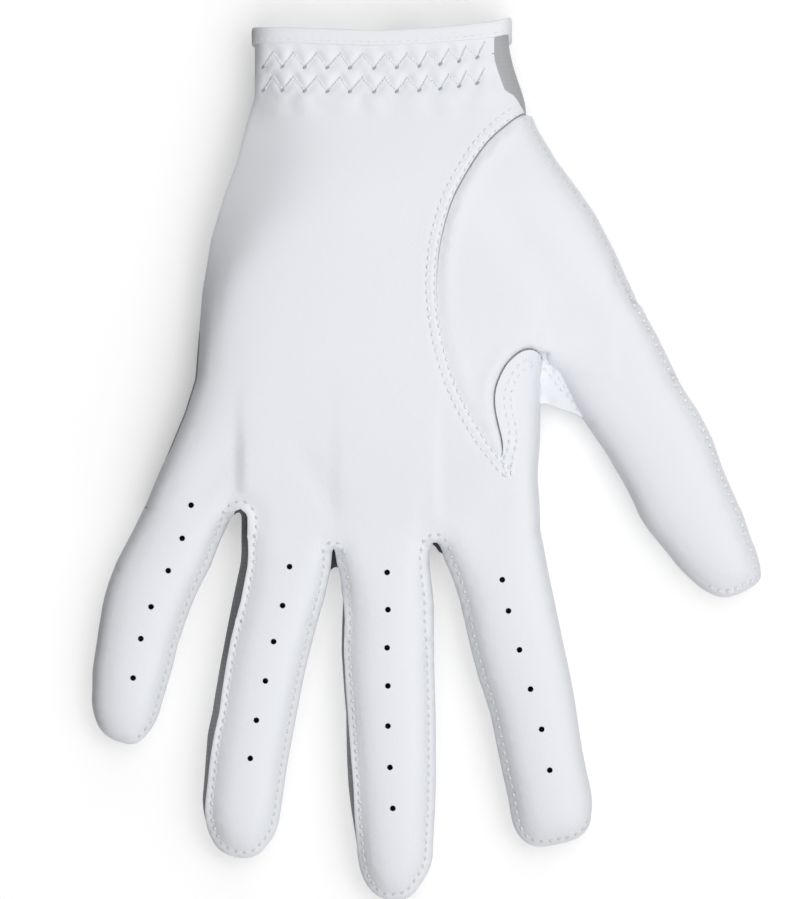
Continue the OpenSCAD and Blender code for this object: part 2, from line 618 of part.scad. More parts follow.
module tab_anchor() {
    color(leather_white) translate([hinge_x + tab_gap, tab_y - tab_w / 2, 0])
        cube([tab_root_len, tab_w, wrist_lift]);
}

// ---- fingers and thumb ---------------------------------------------------------------------
module pinky_front_base() { color(leather_white) digit_front(pinky, base_stations(pinky), [-1]); }
module pinky_front_tip() { color(leather_white) digit_front(pinky, tip_stations(pinky), [-1]); }
module pinky_back_base() { color(leather_white) digit_back(pinky, base_stations(pinky)); }
module pinky_back_tip() { color(leather_white) digit_back(pinky, tip_stations(pinky)); }
module pinky_wall_base() { color(mesh_grey) digit_wall(pinky, base_stations(pinky), 1); }
module pinky_wall_tip() { color(mesh_grey) digit_wall(pinky, tip_stations(pinky), 1); }

module ring_front_base() { color(leather_white) digit_front(ring, base_stations(ring), []); }
module ring_front_tip() { color(leather_white) digit_front(ring, tip_stations(ring), []); }
module ring_back_base() { color(leather_white) digit_back(ring, base_stations(ring)); }
module ring_back_tip() { color(leather_white) digit_back(ring, tip_stations(ring)); }
module ring_outer_wall_base() { color(mesh_grey) digit_wall(ring, base_stations(ring), -1); }
module ring_outer_wall_tip() { color(mesh_grey) digit_wall(ring, tip_stations(ring), -1); }
module ring_inner_wall_base() { color(mesh_grey) digit_wall(ring, base_stations(ring), 1); }
module ring_inner_wall_tip() { color(mesh_grey) digit_wall(ring, tip_stations(ring), 1); }

module middle_front_base() { color(leather_white) digit_front(middle, base_stations(middle), []); }
module middle_front_tip() { color(leather_white) digit_front(middle, tip_stations(middle), []); }
module middle_back_base() { color(leather_white) digit_back(middle, base_stations(middle)); }
module middle_back_tip() { color(leather_white) digit_back(middle, tip_stations(middle)); }
module middle_outer_wall_base() { color(mesh_grey) digit_wall(middle, base_stations(middle), -1); }
module middle_outer_wall_tip() { color(mesh_grey) digit_wall(middle, tip_stations(middle), -1); }
module middle_inner_wall_base() { color(mesh_grey) digit_wall(middle, base_stations(middle), 1); }
module middle_inner_wall_tip() { color(mesh_grey) digit_wall(middle, tip_stations(middle), 1); }

module index_front_base() { color(leather_white) digit_front(index, base_stations(index), [1]); }
module index_front_tip() { color(leather_white) digit_front(index, tip_stations(index), [1]); }
module index_back_base() { color(leather_white) digit_back(index, base_stations(index)); }
module index_back_tip() { color(leather_white) digit_back(index, tip_stations(index)); }
module index_wall_base() { color(mesh_grey) digit_wall(index, base_stations(index), -1); }
module index_wall_tip() { color(mesh_grey) digit_wall(index, tip_stations(index), -1); }

module thumb_front_base() { color(leather_white) digit_front(thumb, base_stations(thumb), [-1, 1]); }
module thumb_front_tip() { color(leather_white) digit_front(thumb, tip_stations(thumb), [-1, 1]); }
module thumb_back_base() { color(leather_white) digit_back(thumb, base_stations(thumb)); }
module thumb_back_tip() { color(leather_white) digit_back(thumb, tip_stations(thumb)); }

palm_panel();
thumb_gore_front();
thumb_gore_back();
back_panel();
knuckle_mesh();
knuckle_leather();
ulnar_leather();
ulnar_mesh();
wrist_gusset();
cuff_binding();
wrist_elastic();
vent_tape();
size_label();
loop_patch();
tab_anchor();
tab_strap();
tab_lining();
hook_patch();
fork_pinky_ring();
fork_ring_middle();
fork_middle_index();
pinky_front_base();
pinky_front_tip();
pinky_back_base();
pinky_back_tip();
pinky_wall_base();
pinky_wall_tip();
ring_front_base();
ring_front_tip();
ring_back_base();
ring_back_tip();
ring_outer_wall_base();
ring_outer_wall_tip();
ring_inner_wall_base();
ring_inner_wall_tip();
middle_front_base();
middle_front_tip();
middle_back_base();
middle_back_tip();
middle_outer_wall_base();
middle_outer_wall_tip();
middle_inner_wall_base();
middle_inner_wall_tip();
index_front_base();
index_front_tip();
index_back_base();
index_back_tip();
index_wall_base();
index_wall_tip();
thumb_front_base();
thumb_front_tip();
thumb_back_base();
thumb_back_tip();
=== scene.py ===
# %% [markdown]
# # A left-hand golf glove, lying on its back with the palm up
#
# The real glove is a few flat cuts of thin sheepskin and stretch mesh, sewn edge to edge into a
# hollow hand. Here the order is turned round: the outline of the whole hand is drawn flat and inflated
# like a soap film, and each cut takes its share of that one surface. The pieces then meet exactly at
# their seams, which separate lofts never do. Numbers are in millimetres until a mesh is made.

# %% The frame and the tools
import math

import bpy
import numpy as np
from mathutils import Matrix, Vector
from mathutils.geometry import delaunay_2d_cdt


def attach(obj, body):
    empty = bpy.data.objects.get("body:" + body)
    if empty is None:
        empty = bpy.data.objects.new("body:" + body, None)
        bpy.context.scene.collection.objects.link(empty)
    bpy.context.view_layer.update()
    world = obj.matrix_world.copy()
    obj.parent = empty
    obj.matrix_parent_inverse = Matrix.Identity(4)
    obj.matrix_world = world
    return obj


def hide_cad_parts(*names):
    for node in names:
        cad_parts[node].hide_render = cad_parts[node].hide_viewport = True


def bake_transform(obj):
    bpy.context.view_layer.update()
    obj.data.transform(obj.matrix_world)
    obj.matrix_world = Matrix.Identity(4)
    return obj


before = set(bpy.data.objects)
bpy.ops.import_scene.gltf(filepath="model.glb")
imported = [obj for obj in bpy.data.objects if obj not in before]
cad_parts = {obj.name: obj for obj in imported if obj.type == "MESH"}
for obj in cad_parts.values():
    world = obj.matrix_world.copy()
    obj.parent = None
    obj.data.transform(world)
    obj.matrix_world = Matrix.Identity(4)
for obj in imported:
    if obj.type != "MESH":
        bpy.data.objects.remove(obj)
bpy.context.view_layer.update()
MM = 0.001


# %% Small helpers for shapes and for lines on the plan
def smooth(t):
    t = np.clip(t, 0.0, 1.0)
    return t * t * (3 - 2 * t)


def mix(a, b, t):
    return a + (b - a) * t


def bell(x, width):
    return np.exp(-((x / width) ** 2))


def lookup(table, t):
    """Straight lines between the (place, value) pairs of a table."""
    return np.interp(t, [p[0] for p in table], [p[1] for p in table])


def unit(v):
    return v / np.maximum(np.linalg.norm(v, axis=1), 1e-9)[:, None]


def resample(points, step):
    """The same line with evenly spaced points, at most a step apart."""
    points = np.asarray(points, float)
    run = np.concatenate([[0], np.cumsum(np.linalg.norm(np.diff(points, axis=0), axis=1))])
    n = max(2, int(math.ceil(run[-1] / step)))
    at = np.linspace(0, run[-1], n + 1)
    return np.stack([np.interp(at, run, points[:, k]) for k in range(points.shape[1])], axis=1)


def rounded(points, passes=3):
    """Takes the corners off a line, and keeps its ends."""
    points = np.asarray(points, float)
    for _ in range(passes):
        a, b = points[:-1], points[1:]
        cut = np.stack([mix(a, b, 0.25), mix(a, b, 0.75)], axis=1).reshape(-1, 2)
        points = np.vstack([points[:1], cut[1:-1], points[-1:]])
    return points


def rightward(line):
    """Unit steps square to a line, to the right of someone who walks along it."""
    t = np.gradient(line, axis=0)
    t /= np.linalg.norm(t, axis=1)[:, None]
    return np.stack([t[:, 1], -t[:, 0]], axis=1)


def length_of(line):
    return round(float(np.linalg.norm(np.diff(line, axis=0), axis=1).sum()), 1)


print("a square corner of 20 mm is", length_of(rounded([(0, 0), (10, 0), (10, 10)])), "mm once rounded")


# %% [markdown]
# ## Fingers
#
# A finger is a straight or slightly bowed tube. A few sizes describe it: its crease, lean and length,
# its width at the crease, the middle and the tip, and how round the tip is. A function from a distance
# along it to a point on its edge is enough, because leather, walls and stitches follow those edges.

# %% Sizes of the five digits
DIGITS = {
    "pinky": dict(crease=(-43.89, -41), lean=-14.6, length=60, widths=(22, 19.8, 16.8), bow=-3.6, tip=2.2),
    "ring": dict(crease=(-19.893, -48), lean=-8.9, length=79.5, widths=(21.4, 21, 19), bow=-1.7, tip=2.1),
    "middle": dict(crease=(4.246, -50), lean=2.2, length=87, widths=(23, 21.8, 19.8), bow=-0.6, tip=2.2),
    "index": dict(crease=(29.627, -46.5), lean=12.2, length=78.5, widths=(23.6, 21.8, 19.4), bow=0, tip=2.8),
    "thumb": dict(crease=(54, 2.5), lean=29, length=74.2, widths=(26.4, 23.6, 19.8), bow=1.4, tip=2.6),
}
FINGERS = ["pinky", "ring", "middle", "index"]
TIP_SHARE = 0.6
for name, d in DIGITS.items():
    d["name"] = name
    d["axis"] = np.array([math.sin(math.radians(d["lean"])), -math.cos(math.radians(d["lean"]))])
    d["shoulder"] = d["length"] - TIP_SHARE * d["widths"][2]
    d["cut"] = max(18.0, 0.27 * d["length"])
    print(name, "is cut for its joints at", round(d["cut"], 1), "mm")


# %% Points on a digit
def half_width(d, s):
    w0, w1, w2 = d["widths"]
    mid = d["shoulder"] / 2
    body = np.where(s <= mid, mix(w0, w1, smooth(s / mid)),
                    mix(w1, w2, smooth((np.minimum(s, d["shoulder"]) - mid) / mid)))
    past = np.clip((s - d["shoulder"]) / (d["length"] - d["shoulder"]), 0, 1)
    return body / 2 * np.maximum(0, 1 - past ** d["tip"]) ** (1 / d["tip"])


def on_digit(d, s, q):
    """Point at s along a digit and q across it. Rows turn from the crease to square by the bend."""
    s, q = np.broadcast_arrays(np.asarray(s, float), np.asarray(q, float))
    a = math.radians(d["lean"])
    b = a * smooth(s / (0.5 * d["length"])) if d["name"] != "thumb" else np.full(s.shape, a)
    bow = d["bow"] * np.sin(np.pi * np.clip(s / d["length"], 0, 1))
    across = q / np.cos(a - b)
    x = d["crease"][0] + s * math.sin(a) + bow * math.cos(a) + across * np.cos(b)
    y = d["crease"][1] - s * math.cos(a) + bow * math.sin(a) + across * np.sin(b)
    return np.stack([x, y], axis=-1)


print("the middle fingertip lies at", on_digit(DIGITS["middle"], 87, 0).round(1), "mm")

# %% The sides of a digit
# Millimetres along a side, and how far it stands out there from the plain width
SIDE_TRIM = {
    ("pinky", -1): [(0, 0), (6, 0.2), (11, 0.7), (16, 1.3), (22, 1.6), (32, 1.4), (37, 1.5), (45, 2.1),
                    (52, 1.6), (56, 0.7), (60, 0.6)],
    ("pinky", 1): [(3, -0.3), (8, -0.2), (14, 0.4), (22, -0.2), (28, -0.5), (34, -0.5), (39, -0.2),
                   (45, -0.6), (49, -1.2), (52, -1.7), (56, -1.4), (58, -1), (60, 0.3)],
    ("ring", -1): [(0, 1), (2, 0.55), (4, 0.1), (7, -0.3), (27, -0.3), (38, -0.2), (45, 0.1), (51, 0.8),
                   (67, 0.8), (72, 0), (76, -0.3), (79.5, 0.3)],
    ("ring", 1): [(0, 0.2), (4, 0.65), (8, 1.2), (14, 1.35), (20, 0.9), (25, 0.6), (33, 0.1),
                  (54, -0.1), (64, -0.2), (70, -0.5), (76, -0.7), (79.5, 0.3)],
    ("middle", -1): [(0, 1.35), (3, 1.15), (5, 0.9), (8, 0.2), (14, 0), (20, 0.5), (26, 0.9), (35, 0.7),
                     (41, 0.4), (47, 0.7), (53, 1), (59, 1.2), (65, 1), (70, 0.6), (76, 0.1),
                     (81, -0.5), (84, -0.7), (86, -0.4), (87, 0.1)],
    ("middle", 1): [(0, -0.8), (3, -1.4), (8, -1), (12, -0.5), (16, -0.2), (39, -0.1), (58, -0.2),
                    (66, -0.6), (70, -1), (75, -1.5), (79, -1.6), (82, -1.8), (84, -1.7), (86, -0.9),
                    (87, 0.1)],
    ("index", -1): [(5, 1), (7.5, 0.9), (9, 0.5), (12, 0), (17, -0.3), (22, -0.1), (28, 0), (34, -0.2),
                    (39, -0.7), (44, -1), (53, -0.4), (59, -0.1), (66, 0), (72, 0.4), (75, 0.5),
                    (78.5, 0.8)],
    ("index", 1): [(0, 0), (12, 0), (19, 0.3), (26, 0.5), (45, 0.7), (57, 0.5), (67, 0.7), (70, 0.5),
                   (73, 0.2), (78.5, 0.6)],
    ("thumb", -1): [(0, 0), (12, 0.6), (16, 1), (24, 1), (28, 0.8), (37, 0.9), (42, 1.4), (46, 2.1),
                    (50, 2.1), (54, 1.5), (58, 0.8), (61, 0.3), (64, -0.6), (67, -0.8), (70, -0.5),
                    (72, -0.2), (74.2, 0.3)],
    ("thumb", 1): [(0, 0.3), (5, 0), (9, 0), (16, -0.3), (23, -0.5), (30, 0.1), (38, 0), (45, -0.6),
                   (51, -0.5), (58, -0.3), (62, -0.8), (65, -1.3), (68, -1.9), (70, -2.1),
                   (72, -1.7), (73.5, -0.6), (74.2, 0.3)],
}
# How far the very tip leans to one side
TIP_SHIFT = dict(pinky=-1.6, ring=-0.2, middle=-1.2, index=0, thumb=2.3)
# Where the crotch's own line takes over from a finger's side, in millimetres past the crease
ROOT_FROM = {("pinky", 1): 2.6, ("ring", 1): 4.0, ("middle", -1): 2.0, ("index", -1): 5.0}


def digit_side(d, side, part):
    """Edge of a digit from root to cut (part "base") or from cut to the very tip (part "tip")."""
    if part == "base":
        s = np.linspace(ROOT_FROM.get((d["name"], side), 0), d["cut"], 40)
    else:
        turn = d["shoulder"] + (d["length"] - d["shoulder"]) * np.sin(np.linspace(0, math.pi / 2, 60))
        s = np.concatenate([np.linspace(d["cut"], d["shoulder"], 60)[:-1], turn])
    lean = TIP_SHIFT[d["name"]] * smooth((s - d["shoulder"]) / (d["length"] - d["shoulder"]))
    wide = half_width(d, s) + lookup(SIDE_TRIM[d["name"], side], s)
    return on_digit(d, s, side * np.maximum(0, wide) + lean)


for name, d in DIGITS.items():
    across = digit_side(d, 1, "base")[-1] - digit_side(d, -1, "base")[-1]
    print(name, "is", round(float(np.hypot(*across)), 1), "mm wide at its cut")


# %% [markdown]
# ## The outline of the hand
#
# One line runs from the left end of the cuff round every finger to its right end. Each of its sections
# remembers what is sewn there: how far the leather's edge stands in from the silhouette, whether
# stitches show, and which body it moves with. One number then moves leather, mesh and thread together.

# %% Side profiles of the palm
CUFF_Y, PANEL_TOP_Y = 75.5, 71.9
CUFF_LEFT, CUFF_RIGHT = -28.4, 34.2
THUMB_TOP = (38.4, 55.2)
MESH_FROM_Y = 2.4
ulnar_share = [(0, 0), (0.14, 0), (0.2, 0.08), (0.27, 0.155), (0.35, 0.285), (0.44, 0.4), (0.55, 0.48),
               (0.66, 0.52), (0.73, 0.545), (0.8, 0.64), (0.87, 0.765), (0.93, 0.875), (1, 1)]
thenar_share = [(0, 0), (0.25, 0.26), (0.41, 0.465), (0.53, 0.605), (0.75, 0.805), (1, 1)]
pinky, index, thumb = (DIGITS[n] for n in ("pinky", "index", "thumb"))
pinky_corner = on_digit(pinky, 0, -half_width(pinky, 0))
index_corner = on_digit(index, 0, half_width(index, 0))
thumb_inner = on_digit(thumb, 0, -half_width(thumb, 0))
thumb_outer = on_digit(thumb, 0, half_width(thumb, 0))


def left_x(y):
    return mix(CUFF_LEFT, pinky_corner[0], lookup(ulnar_share, (CUFF_Y - y) / (CUFF_Y - pinky_corner[1])))


def wrist_right_x(y):
    return mix(CUFF_RIGHT, THUMB_TOP[0], smooth((PANEL_TOP_Y - y) / (PANEL_TOP_Y - THUMB_TOP[1])))


def thenar_x(y):
    return mix(THUMB_TOP[0], thumb_outer[0],
               lookup(thenar_share, (THUMB_TOP[1] - y) / (THUMB_TOP[1] - thumb_outer[1])))


def index_side_x(y):
    share = np.clip((y - index_corner[1]) / (thumb_inner[1] - index_corner[1]), 0, 1)
    return mix(index_corner[0], thumb_inner[0], share ** 6) - 0.6 * bell(y + 33, 6)


print("the palm is", round(float(thenar_x(20) - left_x(20)), 1), "mm across")

# %% The narrow arch of each crotch, between the side of one finger and the side of the next
CROTCH_ARCHES = {
    "pinky_ring": [(-32.75, -42.8), (-32.35, -42.35), (-31.95, -42.5), (-31.7, -43.2), (-31.7, -45.5)],
    "ring_middle": [(-9.15, -51.3), (-8.85, -50.9), (-8.6, -51.2)],
    "middle_index": [(15.3, -49.6), (15.9, -49.35), (16.6, -49.6), (17.1, -50.3)],
}


def crotch_line(left, right):
    """From the right side of one finger, over the arch, to the left side of the next."""
    a, b = digit_side(left, 1, "base")[0], digit_side(right, -1, "base")[0]
    return rounded([a, *CROTCH_ARCHES[f"{left['name']}_{right['name']}"], b], 2)


print("crotches between fingers:", list(CROTCH_ARCHES))


# %% Sections of the outline, from the cuff round to the cuff
EDGE_STEP = 1.05
ARCH_STEP = 0.6
outline_rows = []      # name, body part, points, inset at both ends, seam at both ends


def add_section(name, part, points, inset=(0, 0), seam=(0, 0)):
    step = ARCH_STEP if name.startswith("crotch") else EDGE_STEP
    outline_rows.append((name, part, resample(points, step), inset, seam))


def down(x_of, y0, y1):
    y = np.linspace(y0, y1, 80)
    return np.stack([x_of(y), y], axis=1)


LIP = 0.25           # how far an outseam stands in from the silhouette
LIPS = dict(ring=(LIP, LIP), middle=(LIP, LIP), pinky=(0, LIP), index=(LIP, 0), thumb=(0, 0))
# Two fingers are rolled, so that their grey wall shows: millimetres along, and how wide it shows
STRIP = {
    "ring_left": [(0, 2.05), (4, 2.2), (12, 2.4), (17, 2.5), (27, 1.9), (38, 2), (45, 2.2), (51, 2.1),
                  (57, 1.6), (67, 1.3), (72, 0.6), (76, 0.25), (79.5, 0.1)],
    "middle_left": [(0, 0.3), (11, 0.35), (16, 0.9), (18, 1.1), (41, 0.9), (47, 1.25), (53, 1.55),
                    (59, 1.7), (65, 1.2), (70, 0.75), (76, 0.3), (87, 0.1)],
}
RING_ROOT = 2.05
# Which sides of a digit show their stitches, left and right, and how deep they pull at the very tip
SEWN = dict(ring=(1, 1), middle=(1, 1), pinky=(0, 1), index=(1, 0), thumb=(0, 1))
TIP_SEWN = dict(ring=1, middle=1, pinky=0.2, index=1, thumb=1)
add_section("ulnar_leather", "hand", down(left_x, CUFF_Y, MESH_FROM_Y), (0.3, 0.3))
add_section("ulnar_mesh", "hand", down(left_x, MESH_FROM_Y, pinky_corner[1]), (0.3, 0))


def add_digit(name):
    """Left side down to the tip, then right side back up, so the outline runs on in one direction."""
    for side, k in ((-1, 0), (1, 1)):
        lip, sewn = LIPS[name][k], SEWN[name][k]
        rows = [("base", (lip, lip), (sewn, sewn)), ("tip", (lip, 0), (sewn, TIP_SEWN[name]))]
        for part, inset, seam in rows if side < 0 else rows[::-1]:
            line = digit_side(DIGITS[name], side, part)
            if side > 0:
                line, inset, seam = line[::-1], inset[::-1], seam[::-1]
            add_section(f"{name}_{'left' if side < 0 else 'right'}_{part}", f"{name}_{part}", line,
                        inset, seam)


for left, right in zip(FINGERS, FINGERS[1:] + [None]):
    add_digit(left)
    if right:
        add_section(f"crotch_{left}_{right}", "hand", crotch_line(DIGITS[left], DIGITS[right]),
                    (LIP, RING_ROOT if right == "ring" else LIP), (1, 1))
add_section("tongue_side", "hand", down(index_side_x, index_corner[1], thumb_inner[1]))
add_digit("thumb")
add_section("thenar", "hand", down(thenar_x, thumb_outer[1], THUMB_TOP[1]), (0, 0), (1, 1))
add_section("wrist", "hand", down(wrist_right_x, THUMB_TOP[1], CUFF_Y), (1.5, 3.2))
print(len(outline_rows), "sections of outline")

# %% One closed set of arrays for the outline
# Height on the plan, and how wide the knit shows beside the palm's leather there
SHOWS_BY_Y = {
    "wrist": [(55.5, 1.1), (58.3, 1.9), (60.5, 2.7), (62, 4.2), (68.2, 4.5), (73.4, 3.6), (76, 3.3)],
    "ulnar_mesh": [(-41, 0.1), (-31, 0.15), (-26, 0.7), (-6, 0.8), (1, 0.6), (2.4, 0.3)],
}
line_points, line_inset, line_seam, line_section, section_range = [], [], [], [], {}


def settling(name, t):
    """How a section goes over from its first value to its last: early, late or only at a fingertip."""
    if name.endswith("left_tip"):
        return t ** 4
    if name.endswith("right_tip"):
        return 1 - (1 - t) ** 4
    if name.startswith("crotch") or name.endswith("left_base"):
        return smooth(t * 2.2)
    return 1 - smooth((1 - t) * 2.2)


for k, (name, part, pts, inset, seam) in enumerate(outline_rows):
    keep = pts if k == len(outline_rows) - 1 else pts[:-1]
    ramp = settling(name, np.linspace(0, 1, len(pts))[:len(keep)])
    start = sum(len(p) for p in line_points)
    section_range[name] = (start, start + len(pts) - 1)
    side = name.rsplit("_", 1)[0]
    if name in SHOWS_BY_Y:
        shown = lookup(SHOWS_BY_Y[name], keep[:, 1])
    elif side in STRIP:
        d = DIGITS[name.split("_")[0]]
        shown = lookup(STRIP[side], (keep - np.array(d["crease"])) @ d["axis"])
    else:
        shown = mix(inset[0], inset[1], ramp)
    line_points.append(keep)
    line_inset.append(shown)
    line_seam.append(mix(seam[0], seam[1], ramp))
    line_section += [k] * len(keep)
OUT = np.vstack(line_points)
INSET, SEAM, SECTION = np.concatenate(line_inset), np.concatenate(line_seam), np.array(line_section)
INWARD = -rightward(OUT)


def section_name(k):
    return outline_rows[SECTION[k]][0]


def outline_part(k):
    return outline_rows[SECTION[k]][1]


def ranges(*names):
    """Outline indices of some sections in a row."""
    return np.arange(section_range[names[0]][0], section_range[names[-1]][1] + 1)


def hide_edge(ids):
    return OUT[ids] + INWARD[ids] * INSET[ids][:, None]


print("outline of", len(OUT), "points,", length_of(OUT), "mm")

# %% How far inside the leather's edge each row of thread lies
STITCH_OF = {"ring_left": 1.05, "middle_left": 1.0, "pinky_right": 1.0, "ring_right": 1.1,
             "middle_right": 1.6, "index_left": 1.05, "thumb_right": 0.7, "thenar": 0.7,
             "pinky_right_tip": 0.8, "ring_left_tip": 1.0, "ring_right_tip": 0.9, "middle_left_tip": 0.8,
             "middle_right_tip": 1.15, "index_left_tip": 0.8, "index_right_tip": 0.75, "pinky_left_tip": 0.8,
             "crotch_pinky_ring": 1.9, "crotch_ring_middle": 1.9, "crotch_middle_index": 1.5}


def softened(raw, half):
    window = np.hanning(2 * half + 3)[1:-1]
    return np.convolve(np.pad(raw, half, mode="edge"), window / window.sum(), mode="valid")


def section_value(table, k, other):
    name = section_name(k)
    return table.get(name, table.get(name.rsplit("_", 1)[0], other))


STITCH = softened(np.array([section_value(STITCH_OF, k, 1.2) for k in range(len(OUT))]), 3)
print("thread lies", STITCH.min().round(1), "to", STITCH.max().round(1), "mm inside the edge")

# %% How far round the back each section reaches
BACK_REACH_OF = {"ulnar_leather": 4.0, "ulnar_mesh": 3.6, "tongue_side": 2.6, "thenar": 1.3, "wrist": 2.2}
SEWN_WALL_REACH, THUMB_REACH, WRAPPED_REACH = 1.5, 1.3, 2.6
for name, *_ in outline_rows:
    sewn_wall = name.startswith(("pinky_right", "index_left", "ring", "middle", "crotch"))
    BACK_REACH_OF.setdefault(name, SEWN_WALL_REACH if sewn_wall else
                             THUMB_REACH if name.startswith("thumb_right") else WRAPPED_REACH)
BACK_INSET = softened(np.array([BACK_REACH_OF[section_name(k)] for k in range(len(OUT))]), 4)
print("back seams stand in by", BACK_INSET.min().round(1), "to", BACK_INSET.max().round(1), "mm")


# %% Distance to a line, the way into a closed one, and whether a point lies inside it
def nearest(points, line):
    """Distance, fractional index on the line, and unit vector from the line to the point."""
    points = np.asarray(points, float)
    a, ab = line[:-1], np.diff(line, axis=0)
    length2 = np.maximum((ab ** 2).sum(1), 1e-12)
    dist, at, away = np.empty(len(points)), np.empty(len(points)), np.empty((len(points), 2))
    for i in range(0, len(points), 3000):
        p = points[i:i + 3000]
        t = np.clip(((p[:, None] - a) * ab).sum(2) / length2, 0, 1)
        gap = p[:, None] - (a + t[..., None] * ab)
        far = (gap ** 2).sum(2)
        k = far.argmin(1)
        rows = np.arange(len(p))
        dist[i:i + 3000] = np.sqrt(far[rows, k])
        at[i:i + 3000] = k + t[rows, k]
        away[i:i + 3000] = gap[rows, k]
    return dist, at, away / np.maximum(dist, 1e-9)[:, None]


def loop_inward(loop):
    t = np.roll(loop, -1, 0) - np.roll(loop, 1, 0)
    t /= np.maximum(np.linalg.norm(t, axis=1), 1e-9)[:, None]
    return np.stack([-t[:, 1], t[:, 0]], 1)


def in_loop(points, loop):
    nxt = np.roll(loop, -1, 0)
    result = np.zeros(len(points), bool)
    for i in range(0, len(points), 4000):
        p = points[i:i + 4000]
        hit = (loop[:, 1] <= p[:, 1:2]) != (nxt[:, 1] <= p[:, 1:2])
        rise = np.where(np.abs(nxt[:, 1] - loop[:, 1]) < 1e-12, 1e-12, nxt[:, 1] - loop[:, 1])
        cross = loop[:, 0] + (p[:, 1:2] - loop[:, 1]) / rise * (nxt[:, 0] - loop[:, 0])
        result[i:i + 4000] = (hit & (cross > p[:, 0:1])).sum(1) % 2 == 1
    return result


print("the palm's middle is", round(float(nearest([(0, 10)], OUT)[0][0]), 1), "mm from the edge")

# %% [markdown]
# ## Inflating the outline
#
# A thin film blown up inside the outline bulges most where the outline is widest. It obeys Poisson's
# equation, which a small grid solves by going over it again and again. The square root of twice its
# height behaves like the half thickness of a sewn bag: it is upright at the edge and smooth
# everywhere. A plain distance from the edge isn't, and would leave a ridge along each finger.

# %% The grid and the cells inside the hand
CELL = 0.7
grid_x = np.arange(-70, 100, CELL)
grid_y = np.arange(-142, CUFF_Y + 2.5, CELL)
gx, gy = np.meshgrid(grid_x, grid_y)
loop = np.vstack([OUT, [[CUFF_RIGHT, CUFF_Y + 6], [CUFF_LEFT, CUFF_Y + 6]]])
inside = in_loop(np.stack([gx.ravel(), gy.ravel()], 1), loop).reshape(gx.shape)
near_edge = np.zeros_like(inside)
for dy in range(-3, 4):
    for dx in range(-3, 4):
        near_edge |= np.roll(np.roll(inside, dy, 0), dx, 1) != inside
edge_line = np.vstack([[CUFF_LEFT, CUFF_Y + 8], OUT, [CUFF_RIGHT, CUFF_Y + 8]])
signed = np.where(inside, 99.0, -99.0)
found = nearest(np.stack([gx[near_edge], gy[near_edge]], 1), edge_line)[0]
signed[near_edge] = np.where(inside[near_edge], found, -found)
print("grid", inside.shape, "with", int(inside.sum()), "cells inside")


# %% Solving for the film
def spread(values, known, rounds):
    """Fills unknown cells from the known cells around them."""
    values, known = np.where(known, values, 0), known.astype(float)
    for _ in range(rounds):
        total, weight = values * known, known.copy()
        for axis in (0, 1):
            for step in (-1, 1):
                total += np.roll(values * known, step, axis)
                weight += np.roll(known, step, axis)
        fill = (known == 0) & (weight > 0)
        values[fill] = total[fill] / weight[fill]
        known[fill] = 1
    return values


deep = signed >= 1.2 * CELL
band = (~deep) & (signed > -2.2 * CELL)
film = np.where(deep, 30.0, 0.0)
checker = (np.add.outer(np.arange(len(grid_y)), np.arange(len(grid_x))) % 2).astype(bool)
SWEEPS, RELAX, RIM_EVERY = 420, 1.965, 6
for sweep in range(SWEEPS):
    for colour in (checker, ~checker):
        film[-1] = film[-2]
        around = (np.roll(film, 1, 0) + np.roll(film, -1, 0) + np.roll(film, 1, 1) + np.roll(film, -1, 1)
                  + CELL * CELL) / 4
        sel = deep & colour
        film[sel] += RELAX * (around - film)[sel]
    if sweep % RIM_EVERY == RIM_EVERY - 1:
        rim = spread(np.where(deep, film / np.maximum(signed, 0.1), 0), deep & (signed < 90), 5)
        film[band] = (rim * signed)[band]
rim_slope = spread(np.where(deep, film / np.maximum(signed, 0.1), 0), deep & (signed < 90), 6)
film_dy, film_dx = np.gradient(film, CELL)
print("film at its highest", round(float(film.max()), 1), "so half thickness",
      round(float(np.sqrt(2 * film.max())), 1))


# %% Reading the film between its cells
def sample(field, points):
    """Smooth (Catmull-Rom) reading of a grid at any points."""
    fx = np.clip((points[:, 0] - grid_x[0]) / CELL, 1, len(grid_x) - 3.001)
    fy = np.clip((points[:, 1] - grid_y[0]) / CELL, 1, len(grid_y) - 3.001)
    ix, iy = fx.astype(int), fy.astype(int)
    weights = []
    for t in (fx - ix, fy - iy):
        weights.append([-0.5 * t + t * t - 0.5 * t ** 3, 1 - 2.5 * t * t + 1.5 * t ** 3,
                        0.5 * t + 2 * t * t - 1.5 * t ** 3, 0.5 * (t ** 3 - t * t)])
    return sum(weights[1][j] * weights[0][i] * field[iy + j - 1, ix + i - 1]
               for j in range(4) for i in range(4))


def inflate(points):
    """Depth from the edge, place on the outline, half thickness w and the film's slope."""
    dist, at, away = nearest(points, edge_line)
    at = np.clip(at - 1, 0, len(OUT) - 1.001)
    k = np.round(at).astype(int)
    away = np.where((dist < 0.02)[:, None], INWARD[k], away)
    rim = sample(rim_slope, points)
    t = smooth((dist - 1.2) / 1.6)
    height = mix(rim * dist, sample(film, points), t)
    slope = mix((rim[:, None] * away), np.stack([sample(film_dx, points), sample(film_dy, points)], 1),
                t[:, None])
    return dist, at, np.sqrt(2 * np.maximum(height, 0)), slope


print("half thickness in the palm:", round(float(inflate(np.array([[0.0, 10.0]]))[2][0]), 1))

# %% [markdown]
# ## Front and back surfaces
#
# The glove rests on its back, so the back is nearly flat and the front carries the fullness. Both
# start at the side seam, which is higher at the wrist because the closure tab lies under it.

# %% Heights
SIDE_Z = 6.75
LIFT = 3.4
LIFT_FROM_Y, LIFT_RUN = -4.0, 46.0


def side_height(y):
    return SIDE_Z + LIFT * smooth((y - LIFT_FROM_Y) / LIFT_RUN)


